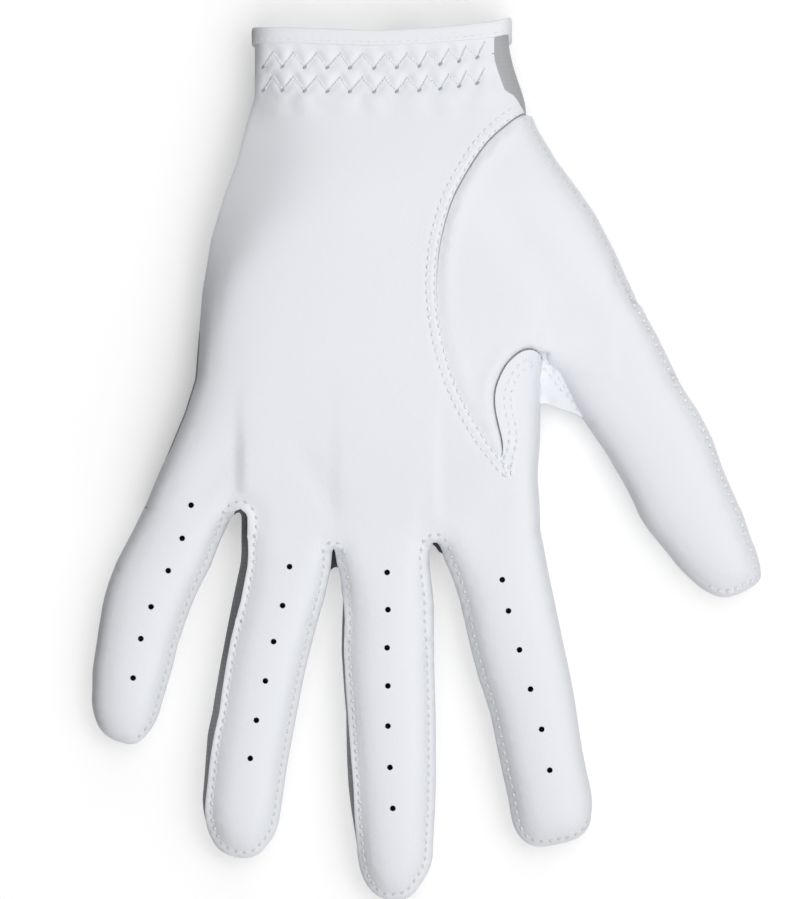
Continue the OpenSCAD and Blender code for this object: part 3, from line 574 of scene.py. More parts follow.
def side_slope(y):
    return (side_height(y + 0.1) - side_height(y - 0.1)) / 0.2


FRONT_RISE, FRONT_REACH = 15.5, 13.5
BACK_DROP, BACK_REACH = 6.75, 5.0


SWELL_RUN = 60.0
CREASE_CAP, PALM_CAP = 12.5, 52.0
crease_steps = [(float(on_digit(DIGITS[n], 0, side * half_width(DIGITS[n], 0))[0]) + side * 0.45,
                 DIGITS[n]["crease"][1]) for n in FINGERS for side in (-1, 1)]


def palmness(points):
    """0 from the creases outwards, and rising far into the palm, where it is free to swell."""
    above = smooth((points[:, 1] - lookup(crease_steps, points[:, 0])) / SWELL_RUN)
    above_thumb = smooth((np.array(thumb["crease"]) - points) @ thumb["axis"] / (0.6 * SWELL_RUN) + 0.1)
    return above * mix(1, above_thumb, smooth((points[:, 0] - 37.7) / 5))


def held_down(points, w, slope):
    """The leather is held down at the creases, so the half thickness is capped there."""
    cap = mix(CREASE_CAP, PALM_CAP, palmness(points))
    shrink = (1 + (w / cap) ** 6) ** (-1 / 6)
    return w * shrink, slope * (shrink ** 8)[:, None]


# The little finger's side of the palm falls away gently: height on the way down, and slope there
FLANK = [(-12, 5), (-2, 3.2), (10, 1.9), (22, 1.02), (34, 0.68), (50, 0.55), (62, 0.8), (72, 2)]
FLANK_EDGE = 3.2


def flattened(rise, points):
    """Limits the rise near the little finger's side to a slope, without a hard edge."""
    limit = FLANK_EDGE + lookup(FLANK, points[:, 1]) * np.maximum(points[:, 0] - left_x(points[:, 1]), 0) \
        + 60 * smooth((-12 - points[:, 1]) / 14)
    return rise * (1 + (rise / limit) ** 5) ** -0.2


def front(points):
    points = np.asarray(points, float)
    dist, at, w, slope = inflate(points)
    w, slope = held_down(points, w, slope)
    full = mix(0.62, 1.0, smooth((74 - points[:, 1]) / 45))     # the palm is full, and the cuff flatter
    z = side_height(points[:, 1]) + flattened(full * FRONT_RISE * (1 - np.exp(-w / FRONT_REACH)), points)
    steep = full * FRONT_RISE / FRONT_REACH * np.exp(-w / FRONT_REACH)
    normal = np.stack([-steep * slope[:, 0], -steep * slope[:, 1] - w * side_slope(points[:, 1]), w], 1)
    return np.column_stack([points, z]), unit(normal), dist, at


def back(points):
    points = np.asarray(points, float)
    dist, at, w, slope = inflate(points)
    z = side_height(points[:, 1]) - BACK_DROP * np.tanh(w / BACK_REACH)
    steep = BACK_DROP / BACK_REACH / np.cosh(w / BACK_REACH) ** 2
    normal = np.stack([-steep * slope[:, 0], -steep * slope[:, 1] + w * side_slope(points[:, 1]), -w], 1)
    return np.column_stack([points, z]), unit(normal), dist, at


print("the palm's front stands", round(float(front([(0, 10)])[0][0, 2]), 1), "mm high")

# %% [markdown]
# ## Finishes
#
# Sheepskin for gloves is tanned white, shaved thin and polished only a little, so it is a soft,
# nearly matt white with fine pores. Each finish is a small node tree on Object coordinates. Its
# pattern keeps its real size in metres on every piece, and no piece needs a UV map.

# %% A short way to wire shader nodes
def new_finish(name, colour, roughness, **sockets):
    material = bpy.data.materials.new(name)
    material.use_nodes = True
    tree = material.node_tree
    shader = tree.nodes["Principled BSDF"]
    shader.inputs["Base Color"].default_value = (*colour, 1)
    shader.inputs["Roughness"].default_value = roughness
    for socket, value in sockets.items():
        shader.inputs[socket.replace("_", " ")].default_value = value
    material.diffuse_color = (*colour, 1)
    return material, tree, shader


def node(tree, kind, links=None, **values):
    """A new node. values go to its settings and sockets, and links feed sockets from other nodes."""
    made = tree.nodes.new(kind)
    for key, value in values.items():
        if hasattr(made, key):
            setattr(made, key, value)
        else:
            made.inputs[key.replace("_", " ")].default_value = value
    for socket, source in (links or {}).items():
        tree.links.new(source, made.inputs[socket])
    return made


def in_object(tree, axis=None):
    """The place on a piece, or one axis of it, in metres."""
    place = node(tree, "ShaderNodeTexCoord").outputs["Object"]
    return place if axis is None else node(tree, "ShaderNodeSeparateXYZ", {0: place}).outputs[axis]


def combined(tree, operation, a, b):
    return node(tree, "ShaderNodeMath", {0: a, 1: b}, operation=operation).outputs[0]


def ranged(tree, source, low, high, to_low=0.0, to_high=1.0, kind="LINEAR"):
    return node(tree, "ShaderNodeMapRange", {"Value": source}, interpolation_type=kind, From_Min=low,
                From_Max=high, To_Min=to_low, To_Max=to_high).outputs[0]


def bump(tree, shader, height, depth, strength=1.0, before=None):
    links = {"Height": height, "Normal": before.outputs["Normal"]} if before else {"Height": height}
    made = node(tree, "ShaderNodeBump", links, Strength=strength, Distance=depth)
    tree.links.new(made.outputs["Normal"], shader.inputs["Normal"])
    return made


def tinted(tree, shader, factor, dark, light):
    """Colours a shader between two tones, and returns the mixed colour."""
    tones = node(tree, "ShaderNodeMix", data_type="RGBA")
    for socket, tone in zip([s for s in tones.inputs if s.type == "RGBA"], (dark, light)):
        socket.default_value = (*tone, 1)
    tree.links.new(factor, tones.inputs["Factor"])
    colour = [o for o in tones.outputs if o.type == "RGBA"][0]
    tree.links.new(colour, shader.inputs["Base Color"])
    return colour


print("finishes are wired by", [f.__name__ for f in (node, combined, ranged, bump, tinted)])


# %% [markdown]
# Leather needs three patterns at once: a broad drift of tone, fine wrinkles, and the pores of the
# grain. They could be painted on an image, but an image blurs when it is enlarged. Noise and a
# Voronoi pattern stay sharp, and their bumps are a few hundredths of a millimetre deep.

# %% Leather
NOISE, WAVE = "ShaderNodeTexNoise", "ShaderNodeTexWave"
GRAIN = 0.00004       # metres


def leather_finish(name, dark, light):
    material, tree, shader = new_finish(name, light, 0.52, Specular_IOR_Level=0.35, Sheen_Weight=0.06)
    place = {"Vector": in_object(tree)}
    tone = node(tree, NOISE, place, Scale=38.0, Detail=3.0, Roughness=0.5)
    pores = node(tree, "ShaderNodeTexVoronoi", place, Scale=1500.0)
    wrinkle = node(tree, NOISE, place, Scale=420.0, Detail=4.0, Roughness=0.62)
    tinted(tree, shader, tone.outputs["Fac"], dark, light)
    first = bump(tree, shader, wrinkle.outputs["Fac"], GRAIN * 2.2, 0.55)
    bump(tree, shader, pores.outputs["Distance"], GRAIN, 0.45, first)
    return material


LEATHER = leather_finish("glove_leather", (0.815, 0.832, 0.875), (0.845, 0.862, 0.9))
print("leather grain:", [n.name for n in LEATHER.node_tree.nodes if "Texture" in n.name])


# %% Finishes with a single pattern: the leather's rough inside, darkened as painted shade, and the threads
def patterned(name, plain, roughness, kind, pattern, dark, light, relief=None, **sockets):
    """One pattern sets the tone, and relief says how deep and strong its bumps are."""
    material, tree, shader = new_finish(name, plain, roughness, **sockets)
    height = node(tree, kind, {"Vector": in_object(tree)}, **pattern).outputs["Fac"]
    tinted(tree, shader, height, dark, light)
    if relief:
        bump(tree, shader, height, *relief)
    return material


# The inside of every leather shell is grey, partly as a raw flesh side and partly as painted shade for the
# enclosed inside
FLESH_SIDE_AND_SHADE = patterned("leather_flesh_side_and_shade", (0.42, 0.42, 0.43), 0.9, NOISE, dict(Scale=900.0, Detail=3.0),
                       (0.34, 0.34, 0.35), (0.5, 0.5, 0.51), (0.0001, 0.6))
THREAD = patterned("sewing_thread", (0.6, 0.61, 0.64), 0.6, WAVE, dict(Scale=900.0, Distortion=1.0),
                   (0.62, 0.63, 0.66), (0.72, 0.73, 0.76))
PALE_THREAD = new_finish("pale_sewing_thread", (0.82, 0.83, 0.86), 0.6)[0]
# The rims of the perforations are near black: painted shade for the dark inside of the glove seen through them
PUNCHED = new_finish("perforation_rim_painted_shade", (0.02, 0.02, 0.022), 0.9)[0]
PUNCHED_SHADE = new_finish("needle_hole_shade", (0.42, 0.425, 0.44), 0.9)[0]
print("finishes so far:", len(bpy.data.materials))

# %% [markdown]
# The raw edge of the palm leather, where it laps over the thumb piece, is painted grey. A cut edge is a
# little greyer than the face, and the rest is painted shade in the groove of the lap, darkest along the
# arc round the thumb crotch and near the wrist. Vertex colours could hold that, but a few ranges on the
# Object coordinates say in words which side, how far up, and how soft the change is.

# %% The cut edge of the leather, with painted shade in its groove
CUT_EDGE_AND_SHADE, tree, shader = new_finish("leather_cut_edge_and_groove_shade", (0.34, 0.345, 0.36), 0.8)
ARC_FROM_X, ARC_FROM_Y, WRIST_FROM_Y = (0.0296, 0.0304), (-0.0275, -0.0262), (0.012, 0.036)
along_arc = combined(tree, "MULTIPLY", ranged(tree, in_object(tree, "X"), *ARC_FROM_X),
                     ranged(tree, in_object(tree, "Y"), *ARC_FROM_Y))
painted_groove_shade = combined(tree, "MAXIMUM", along_arc, ranged(tree, in_object(tree, "Y"), *WRIST_FROM_Y))
# Dark along the arc and near the wrist: painted shade of the groove under the lapped edge
tinted(tree, shader, painted_groove_shade, (0.68, 0.69, 0.72), (0.3, 0.305, 0.32))
print("the cut edge is dark right of x =", ARC_FROM_X[1] / MM, "mm")


# %% [markdown]
# The side walls are knitted. Fine columns and courses of yarn are two crossed waves, multiplied, and
# the same height drives tone and bumps. A colour ramp down the hand paints shade into the knit: it is
# darkest in the forks, where the crotches between the fingers lie in deep shade.

# %% Grey stretch mesh: a knit of small columns
def darkened(tree, shader, colour, shades):
    """Multiplies a colour by shades that follow the height on the plan."""
    (low, _), (high, _) = shades[0], shades[-1]
    ramp = node(tree, "ShaderNodeValToRGB", {0: ranged(tree, in_object(tree, "Y"), low * MM, high * MM)})
    stops = ramp.color_ramp.elements
    for k, (y, shade) in enumerate(shades):
        at = (y - low) / (high - low)
        stop = stops[k] if k in (0, 1) else stops.new(at)
        stop.position, stop.color = at, (shade, shade, shade, 1)
    darker = node(tree, "ShaderNodeMix", data_type="RGBA", blend_type="MULTIPLY", Factor=1.0)
    first, second = [s for s in darker.inputs if s.type == "RGBA"]
    tree.links.new(colour, first)
    tree.links.new(ramp.outputs["Color"], second)
    tree.links.new([o for o in darker.outputs if o.type == "RGBA"][0], shader.inputs["Base Color"])


COLUMNS = 1150.0 / 3.14


def mesh_finish(name, dark, light, shades=None, knobs=0.0001):
    material, tree, shader = new_finish(name, light, 0.8, Sheen_Weight=0.15)
    place = {"Vector": in_object(tree)}
    across = node(tree, WAVE, place, Scale=COLUMNS, Distortion=0.6, Detail=1.0)
    down_piece = node(tree, WAVE, place, Scale=COLUMNS * 0.8, Distortion=0.4, bands_direction="Y")
    height = combined(tree, "MULTIPLY", across.outputs["Fac"], down_piece.outputs["Fac"])
    plain = tinted(tree, shader, height, dark, light)
    bump(tree, shader, height, knobs, 0.8)
    if shades:
        darkened(tree, shader, plain, shades)
    return material


# Height on the plan in millimetres, and the share of the knit's colour kept there: painted shade, darkest in
# the crotches
PAINTED_CROTCH_SHADE = [(-92, 1.0), (-84, 0.95), (-76, 0.6), (-66, 0.5), (-52, 0.45), (-48.5, 0.2), (-46, 0.1),
           (-43, 0.16), (-34, 0.65)]
MESH = mesh_finish("grey_stretch_mesh_with_painted_shade", (0.29, 0.305, 0.32), (0.37, 0.385, 0.4), PAINTED_CROTCH_SHADE)
# Near-black knit for the fork webs: painted shade for the deep crotches between the fingers
FORK_SHADE_KNIT = new_finish("crowded_fork_knit", (0.112, 0.116, 0.122), 0.8)[0]
GUSSET = mesh_finish("light_grey_gusset_knit", (0.4, 0.41, 0.425), (0.43, 0.44, 0.455), knobs=0.00003)
print("finishes:", [m.name for m in bpy.data.materials])

# %% [markdown]
# ## From a flat cut to a leather shell
#
# A cut of leather is triangulated flat first. Rows of points run along its edge, where a seam needs
# detail, and an even lattice fills the rest. A constrained Delaunay triangulation joins them and keeps
# the lines along which the piece divides for the joints. Its points are then lifted onto the inflated
# surface. The inside is the same net, moved in by the leather's thickness, and a rounded rim joins them.

# %% Loose points of a flat cut: rows along its edge, and an even lattice inside
EDGE_ROWS = (0.35, 0.8, 1.3, 1.8, 2.45, 3.2)


def edge_row(loop, depth):
    p = loop + depth * loop_inward(loop)
    p = p[in_loop(p, loop)]
    return p[nearest(p, np.vstack([loop, loop[:1]]))[0] > 0.93 * depth]


def lattice(loop, step, y0, y1, clear):
    """An even three-way lattice inside a loop, between two heights and clear of the edge rows."""
    ys = np.arange(y0, y1, step * 0.866)
    xs = np.arange(loop[:, 0].min(), loop[:, 0].max(), step)
    gx, gy = np.meshgrid(xs, ys)
    gx = gx + (np.arange(len(ys)) % 2 * step / 2)[:, None]
    p = np.stack([gx.ravel(), gy.ravel()], 1)
    p = p[in_loop(p, loop)]
    return p[nearest(p, np.vstack([loop, loop[:1]]))[0] > clear + 0.55 * step]


def loose_points(loop, spacing, fine, rows):
    """fine is a height on the plan and the closer spacing above it."""
    extra = [edge_row(loop, depth) for depth in rows]
    top = loop[:, 1].max()
    extra.append(lattice(loop, spacing, loop[:, 1].min(), fine[0] if fine else top, rows[-1]))
    if fine:
        extra.append(lattice(loop, fine[1], fine[0], top, rows[-1]))
    return np.vstack(extra)


print("rows along an edge lie at", EDGE_ROWS, "mm")


# %% Joining them into a net
HOLE_SIDES = 12


def plan_mesh(loop, cuts=(), holes=(), spacing=1.5, fine=None, rows=EDGE_ROWS):
    """Flat net of a cut. cuts join two loop points, with or without points between them. Returns the
    net's points, its triangles, and where each loop point went."""
    points, edges, keep_off = [loop], [], []
    count = len(loop)
    for cut in cuts:
        i, between, j = cut[0], cut[1] if len(cut) == 3 else [], cut[-1]
        line = resample(np.vstack([loop[i], np.reshape(between, (-1, 2)), loop[j]]), 1.3)
        ids = [i, *range(count, count + len(line) - 2), j]
        edges += zip(ids, ids[1:])
        points.append(line[1:-1])
        count += len(line) - 2
        keep_off.append(line)
    turn = np.linspace(0, 2 * math.pi, HOLE_SIDES + 1)[:-1]
    round_hole = np.stack([np.cos(turn), np.sin(turn)], 1)
    for centre, radius in holes:
        ids = list(range(count, count + HOLE_SIDES))
        edges += zip(ids, ids[1:] + ids[:1])
        points += [centre + radius * round_hole, centre + (radius + 0.45) * round_hole]
        count += 2 * HOLE_SIDES
    extra = loose_points(loop, spacing, fine, rows)
    for line in keep_off:
        extra = extra[nearest(extra, line)[0] > 0.55]
    for centre, radius in holes:
        extra = extra[np.linalg.norm(extra - centre, axis=1) > radius + 0.9]
    every = np.vstack(points + [extra])
    out, _, faces, origin, _, _ = delaunay_2d_cdt([Vector(p) for p in every], edges,
                                                  [list(range(len(loop)))], 1, 1e-5)
    net = np.array([(v.x, v.y) for v in out])
    where = np.full(len(every), -1)
    for new, old in enumerate(origin):
        where[list(old)] = new
    return net, kept_triangles(net, np.array([f for f in faces if len(f) == 3]), loop, holes), where[:len(loop)]


def kept_triangles(net, tris, loop, holes):
    """Turns every triangle the same way round, and drops those outside the cut or in a hole."""
    a, b, c = (net[tris[:, k]] for k in range(3))
    flat_area = (b[:, 0] - a[:, 0]) * (c[:, 1] - a[:, 1]) - (b[:, 1] - a[:, 1]) * (c[:, 0] - a[:, 0])
    tris[flat_area < 0] = tris[flat_area < 0][:, ::-1]
    middle_of = (a + b + c) / 3
    keep = (np.abs(flat_area) > 1e-7) & in_loop(middle_of, loop)
    for centre, radius in holes:
        keep &= np.linalg.norm(middle_of - centre, axis=1) > radius * 0.97
    return tris[keep]


trial = np.array([(0.0, 0.0), (30, 0), (30, 30), (0, 30)])
print("a 30 mm square becomes a net of", len(plan_mesh(trial)[1]), "triangles")


# %% Normals and meshes
def vertex_normals(points, tris):
    total = np.zeros_like(points)
    each = np.cross(points[tris[:, 1]] - points[tris[:, 0]], points[tris[:, 2]] - points[tris[:, 0]])
    for k in range(3):
        np.add.at(total, tris[:, k], each)
    return unit(total)


CUFF_WAVE = [(-28.5, 0.7), (-15, 0.3), (1, -0.3), (14, 0.3), (24, 1.2), (30, 2.0), (34.5, 3.2)]


def cuff_wave(points):
    """The cuff of the palm side isn't straight: it dips at its middle and rises at the right."""
    points = np.array(points, float)
    up = lookup(CUFF_WAVE, points[:, 0]) * smooth((points[:, 1] - 60) / 14)
    up *= 0.2 + 0.8 * smooth((points[:, 2] - side_height(points[:, 1]) + 1) / 3)
    points[:, 1] += up * smooth((points[:, 2] - 3.3) / 1.0)
    return points


def make_mesh(name, points_mm, faces, normals=None, finishes=(), face_finish=None):
    """A smooth-shaded mesh object at the origin, from millimetres."""
    mesh = bpy.data.meshes.new(name)
    mesh.from_pydata((cuff_wave(points_mm) * MM).tolist(), [], [list(map(int, f)) for f in faces])
    for material in finishes:
        mesh.materials.append(material)
    if face_finish is not None:
        mesh.polygons.foreach_set("material_index", np.asarray(face_finish, np.int32))
    mesh.polygons.foreach_set("use_smooth", np.ones(len(mesh.polygons), bool))
    mesh.update()
    if normals is not None:
        mesh.normals_split_custom_set(normals)
    made = bpy.data.objects.new(name, mesh)
    bpy.context.scene.collection.objects.link(made)
    return made


print("the cuff's wave lifts its right end by", CUFF_WAVE[-1][1], "mm")


# %% The rim of a sheet
def corners(t):
    return (t[0], t[1]), (t[1], t[2]), (t[2], t[0])


def free_edges(points, tris, normals):
    """How many triangles share each edge, and the way out of the sheet at the points of its rim."""
    uses, outward = {}, np.zeros_like(points)
    for t in tris:
        for a, b in corners(t):
            key = (a, b) if a < b else (b, a)
            uses[key] = uses.get(key, 0) + 1
    for t in tris:
        for a, b in corners(t):
            if uses[(a, b) if a < b else (b, a)] == 1:
                out = np.cross(points[b] - points[a], normals[a] + normals[b])
                outward[a] += out
                outward[b] += out
    return uses, unit(outward)


def border_of(tris):
    """The edges that only one of these triangles has, each with the number of that triangle."""
    border = {}
    for f, t in enumerate(tris):
        for a, b in corners(t):
            if border.pop((b, a), None) is None:
                border[a, b] = f
    return border


print("a single triangle has", len(border_of([(0, 1, 2)])), "edges of border")

# %% Closing a sheet into shells
RIM_BULGE, RIM_TILT = 0.3, 0.6      # how far the rim stands out, and how its shading turns


def shell_pieces(points, tris, thickness, parts, part_names, finishes, hole_rims=None, face_finish=None,
                 cut_rims=None):
    """Divides a sheet into a closed shell for each part, all shaded as the whole sheet. hole_rims marks
    points on the rim of a hole, and cut_rims points on a raw edge, which takes the second finish."""
    normals = vertex_normals(points, tris)
    uses, outward = free_edges(points, tris, normals)
    nowhere = np.zeros(len(points), bool)
    hole_rims, cut_rims = (nowhere if rim is None else rim for rim in (hole_rims, cut_rims))
    face_finish = np.zeros(len(tris), int) if face_finish is None else face_finish
    made = {}
    for part in (p for p in part_names if (parts == p).any()):
        used, mine = np.unique(tris[parts == part], return_inverse=True)
        mine, mat_of, n = mine.reshape(-1, 3), face_finish[parts == part], len(used)
        nrm, out, top = normals[used], outward[used], points[used]
        inner = top - nrm * thickness
        holed, raw_edge = hole_rims[used], cut_rims[used]
        faces = [tuple(t) for t in mine] + [(t[2] + n, t[1] + n, t[0] + n) for t in mine]
        mats = list(mat_of) + [len(finishes) - 2] * len(mine)
        rim_id, rim_points, rim_loops = {}, [], []
        for (a, b), f in border_of(mine).items():
            if uses[tuple(sorted((used[a], used[b])))] > 1:      # only a joint between two parts
                faces.append((b, a, a + n, b + n))
                side = np.cross(top[b] - top[a], nrm[a])
                rim_loops += [side / max(np.linalg.norm(side), 1e-9)] * 4
                mats.append(mat_of[f])
                continue
            hole, raw = holed[a] and holed[b], raw_edge[a] and raw_edge[b]
            for v in (a, b):
                if v not in rim_id:
                    rim_id[v] = 2 * n + len(rim_points)
                    rim_points.append((top[v] + inner[v]) / 2 + out[v] * (0 if hole else RIM_BULGE) * thickness)
            faces += [(b, a, rim_id[a], rim_id[b]), (rim_id[b], rim_id[a], a + n, b + n)]
            tilt_a, tilt_b = nrm[a] * RIM_TILT, nrm[b] * RIM_TILT
            rim_loops += [tilt_b + out[b], tilt_a + out[a], out[a], out[b],
                          out[b], out[a], out[a] - tilt_a, out[b] - tilt_b]
            mats += [len(finishes) - 1 if hole else 1 if raw else mat_of[f]] * 2
        loop_normals = unit(np.vstack([nrm[mine].reshape(-1, 3), -nrm[mine[:, ::-1]].reshape(-1, 3),
                                       np.reshape(rim_loops, (-1, 3))]))
        made[part] = make_mesh(part_names[part], np.vstack([top, inner, np.reshape(rim_points, (-1, 3))]),
                               faces, loop_normals.tolist(), finishes, mats)
    return made


print("rims bulge by", RIM_BULGE, "of the thickness")


# %% [markdown]
# ## Which body a piece moves with
#
# The hand is one body, and each digit has two. Each piece is divided along a digit's crease, and again
# between its two joints, and every share is named for the hand or for a digit's base or tip. Shares of
# the hand and the tab ride their body, and the others keep their place.

# %% Riding, and the parts of the digits
# Millimetres past the crease, and on both sides of the middle joint, over which the leather would bend; nothing
# here bends it
KNUCKLE_RUN = dict.fromkeys(DIGITS, (5.2, 17.0)) | {"pinky": (5.2, 15.0)}


def follow(piece, part):
    """Rides the hand or the tab. A digit's base or tip, or a tuple, which gives two bodies and two
    points, only has its place baked into its mesh, and doesn't bend."""
    if isinstance(part, tuple):
        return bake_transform(piece)
    if part in ("hand", "tab"):
        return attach(piece, part)
    name, which = part.split("_")
    if which == "base":
        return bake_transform(piece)
    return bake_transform(piece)


def settle(piece, part, stands_for=None):
    """Hides the solid that a piece stands for, and hands the piece to follow."""
    if stands_for:
        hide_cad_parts(stands_for)
    follow(piece, part)
    return piece


def beyond(p, q, centres):
    return (q[0] - p[0]) * (centres[:, 1] - p[1]) - (q[1] - p[1]) * (centres[:, 0] - p[0]) < 0


def part_of(centres, lines):
    """Part name of each point: a digit's base or tip beyond its crease, and otherwise the hand."""
    parts = np.full(len(centres), "hand", object)
    best = np.full(len(centres), 1.35)
    for name, (crease, cut) in lines.items():
        d = DIGITS[name]
        rel = centres - np.array(d["crease"])
        s = rel @ d["axis"]
        across = rel @ np.array([-d["axis"][1], d["axis"][0]]) - d["bow"] * np.sin(
            np.pi * np.clip(s / d["length"], 0, 1))
        share = np.abs(across) / (half_width(d, np.clip(s, 0, d["shoulder"])) + 0.3)
        mine = beyond(*crease, centres) & (share < best)
        best = np.where(mine, share, best)
        parts[mine] = name + "_base"
        parts[mine & beyond(*cut, centres)] = name + "_tip"
    return parts


print("the knuckles bend over", KNUCKLE_RUN["ring"], "mm past their creases")


# %% [markdown]
# ## The palm hide
#
# The largest cut is one piece of leather: the palm, the fronts of four fingers and a tongue round the
# side of the index finger. Its right edge is the long curved seam, lapped over the thumb piece under
# two rows of stitches. Along the fingers its edge stands out as a thin lip beside a row of stitches.

# %% The curved thumb seam, and the arc round the thumb crotch
THUMB_SEAM = rounded([(37.6, 55.3), (35.6, 54.3), (33.8, 52.9), (29.5, 49.4), (26.0, 45.0), (22.9, 39.9),
                      (19.9, 34.3), (17.9, 27.8), (16.6, 21.7), (16.0, 14.0), (16.3, 8.8), (17.1, 2.8),
                      (18.2, -2.3), (19.8, -7.9), (21.3, -12.0), (23.9, -17.2), (27.0, -22.4),
                      (29.3, -25.8), (31.8, -28.9)], 2)
CROTCH_ARC = rounded([(32.4, -28.2), (32.5, -25.2), (31.2, -20.1), (30.4, -16.2), (30.5, -12.4),
                      (31.7, -9), (33.3, -6.05), (35.7, -3.7), (37.6, -2.6), (39.8, -2.45),
                      (41.4, -3.6), (42.0, -6.5)], 3)
lap_line = resample(np.vstack([THUMB_SEAM, CROTCH_ARC]), 0.7)
lap_turn = np.linalg.norm(lap_line - THUMB_SEAM[-1], axis=1).argmin()
print("lapped seam", length_of(lap_line), "mm long")

# %% Where the sheets bend, dip and stand up
BACK_STITCH = 1.4


def seam_relief(depth, stitch=BACK_STITCH):
    """Lip, thread valley and soft hollow beside an outseam, at a depth from the leather's edge."""
    return (0.4 * bell(depth - 0.2, 0.5) - 0.45 * bell(depth - stitch, 0.45)
            - 0.42 * bell(depth - stitch - 1.2, 1.3))


LAP_RAISE = 0.3
LAP_ROWS = (0.3, 2.25)      # rows beside the long seam
ARC_ROWS = (2.3, 3.95)      # rows beside the crotch arc


def lap_depth(y, at):
    """The lap is deep at the wrist and along the arc, and lies flush at the low end of the seam."""
    return mix(0.3, 1, np.maximum(smooth((at - lap_turn) / 6), smooth(y / 30)))


def lap_relief(points):
    """The palm hide stands up along the lap, and is pulled down under the two rows of thread."""
    distance, at, _ = nearest(points, lap_line)
    in_arc = smooth((at - lap_turn) / 6)
    rows = [mix(a, b, in_arc) for a, b in zip(LAP_ROWS, ARC_ROWS)]
    return (LAP_RAISE * lap_depth(points[:, 1], at) * (1 - smooth(distance / 6))
            - 0.3 * bell(distance - rows[0], 0.45) - 0.22 * bell(distance - rows[1], 0.4))


# centre x, y, direction in degrees from +X, half length, half width, depth of each soft hollow
HOLLOWS = [(-12, -36, -60, 12, 3.0, 0.35), (14, -40, 80, 12, 3.0, 0.3),
           (33, -36, 60, 10, 3.0, 0.3), (-36, -30, 50, 11, 3.0, 0.3), (40, 20, -55, 22, 6, 0.5)]


def hollow_relief(p):
    total = np.zeros(len(p))
    for x, y, angle, run, width, depth in HOLLOWS:
        a = math.radians(angle)
        along = (p[:, 0] - x) * math.cos(a) + (p[:, 1] - y) * math.sin(a)
        across = -(p[:, 0] - x) * math.sin(a) + (p[:, 1] - y) * math.cos(a)
        total -= depth * bell(along, run) * bell(across, width)
    return total


def hide_surface(points, lapped=True):
    """The finished front surface over points of the plan, with its normals."""
    base, normal, dist, at = front(points)
    seam, inset, stitch = (np.interp(at, np.arange(len(OUT)), each) for each in (SEAM, INSET, STITCH))
    raised = seam * seam_relief(dist - inset, stitch)
    if lapped:
        raised = raised + lap_relief(points)
    base = base + normal * raised[:, None]
    base[:, 2] += hollow_relief(points) * smooth(dist / 6) + cuff_relief(points)
    return base, normal


print("thread pulls the hide in by", -round(float(seam_relief(BACK_STITCH)), 2), "mm")


# %% [markdown]
# ## Gathers at the cuff
#
# Elastic is stretched behind the palm and sewn down with two zigzag rows. When it draws back, the
# leather is held down along the thread and puffs up between its strokes.

# %% Zigzag lines and the relief that they leave
ZIG_UPPER = [(-23.5, 69.6), (-18.5, 69.6), (-12.9, 69.6), (-7.2, 69.6), (-1.8, 69.6), (3.7, 69.6),
             (9.1, 69.6), (14.0, 69.8), (19.2, 70.0), (23.4, 70.4), (27.9, 70.9)]
ZIG_LOWER = [(-25.8, 66.2), (-21.2, 66.2), (-15.8, 66.1), (-10.3, 66.1), (-4.8, 66.1), (1.1, 66.1),
             (6.6, 66.2), (12.1, 66.4), (17.2, 66.7), (21.8, 67.2), (26.2, 67.8), (30.0, 68.2)]
ZIG_DROP = 5.4       # from one zigzag row to the next


zig_row = np.array([p for pair in zip(ZIG_LOWER, ZIG_UPPER) for p in pair] + [ZIG_LOWER[-1]], float)
zig_drop = ZIG_DROP + 0.5 * np.sin(np.linspace(0, math.pi, len(zig_row)))
zig_rows = [zig_row, zig_row - np.column_stack([np.zeros(len(zig_row)), zig_drop])]
print("two zigzag rows of", len(zig_row) - 1, "strokes,", length_of(zig_row), "mm of thread each")


def cuff_relief(points):
    near = (points[:, 1] > 54) & (points[:, 0] < 33)
    raised = np.zeros(len(points))
    if near.any():
        p = points[near]
        window = smooth((p[:, 1] - 56) / 4) * smooth((74.5 - p[:, 1]) / 2.5) * smooth((p[:, 0] + 28.4) / 2)
        to_thread = np.minimum(nearest(p, zig_rows[0])[0], nearest(p, zig_rows[1])[0])
        wander = 1.1 * np.sin(0.35 * p[:, 0]) + 0.8 * np.sin(0.9 * p[:, 1])
        pucker = np.sin(2 * math.pi * (p[:, 0] + 0.35 * wander) / 5.45 + 1.1)
        quilt = np.sin(2 * math.pi * p[:, 0] / 3.4 + 0.9 * wander) * np.sin(2 * math.pi * p[:, 1] / 3.7)
        raised[near] = window * (0.55 * (1 - bell(to_thread, 0.75)) + 0.09 * pucker + 0.08 * quilt - 0.4)
        ripple = smooth((p[:, 1] - 46) / 10) * (1 - smooth((p[:, 1] - 58) / 5))
        raised[near] += 0.16 * ripple * np.sin(2 * math.pi * p[:, 0] / 8.6 + 0.5 * wander)
    return raised


# %% Cutting out the palm hide
CUFF_HIDDEN_Y = 74.4       # above this, the binding hides the edge


def below_cuff(ids):
    return ids[OUT[ids, 1] < CUFF_HIDDEN_Y]


# Perforations down the middle of each finger, which let the hand breathe
PERFORATIONS = {
    "pinky": [(-43.6, -40.4), (-45.8, -48.5), (-49.2, -56.4), (-53.4, -65.2), (-55.9, -73.0), (-57.8, -82.6)],
    "ring": [(-19.6, -55.4), (-21.3, -64.9), (-23.5, -73.7), (-25.5, -83.3), (-27.7, -92.9), (-29.2, -102.2)],
    "middle": [(4.2, -56.8), (4.4, -65.9), (4.2, -75.2), (4.4, -84.5), (4.4, -94.3), (4.9, -104.4),
               (5.6, -114.4)],
    "index": [(32.3, -58.6), (33.8, -66.2), (36.5, -75.7), (39.2, -85.3), (41.9, -95.1), (43.9, -105.1)],
}
HOLE_RADIUS = 0.72
hole_list = [(np.array(p), HOLE_RADIUS) for row in PERFORATIONS.values() for p in row]

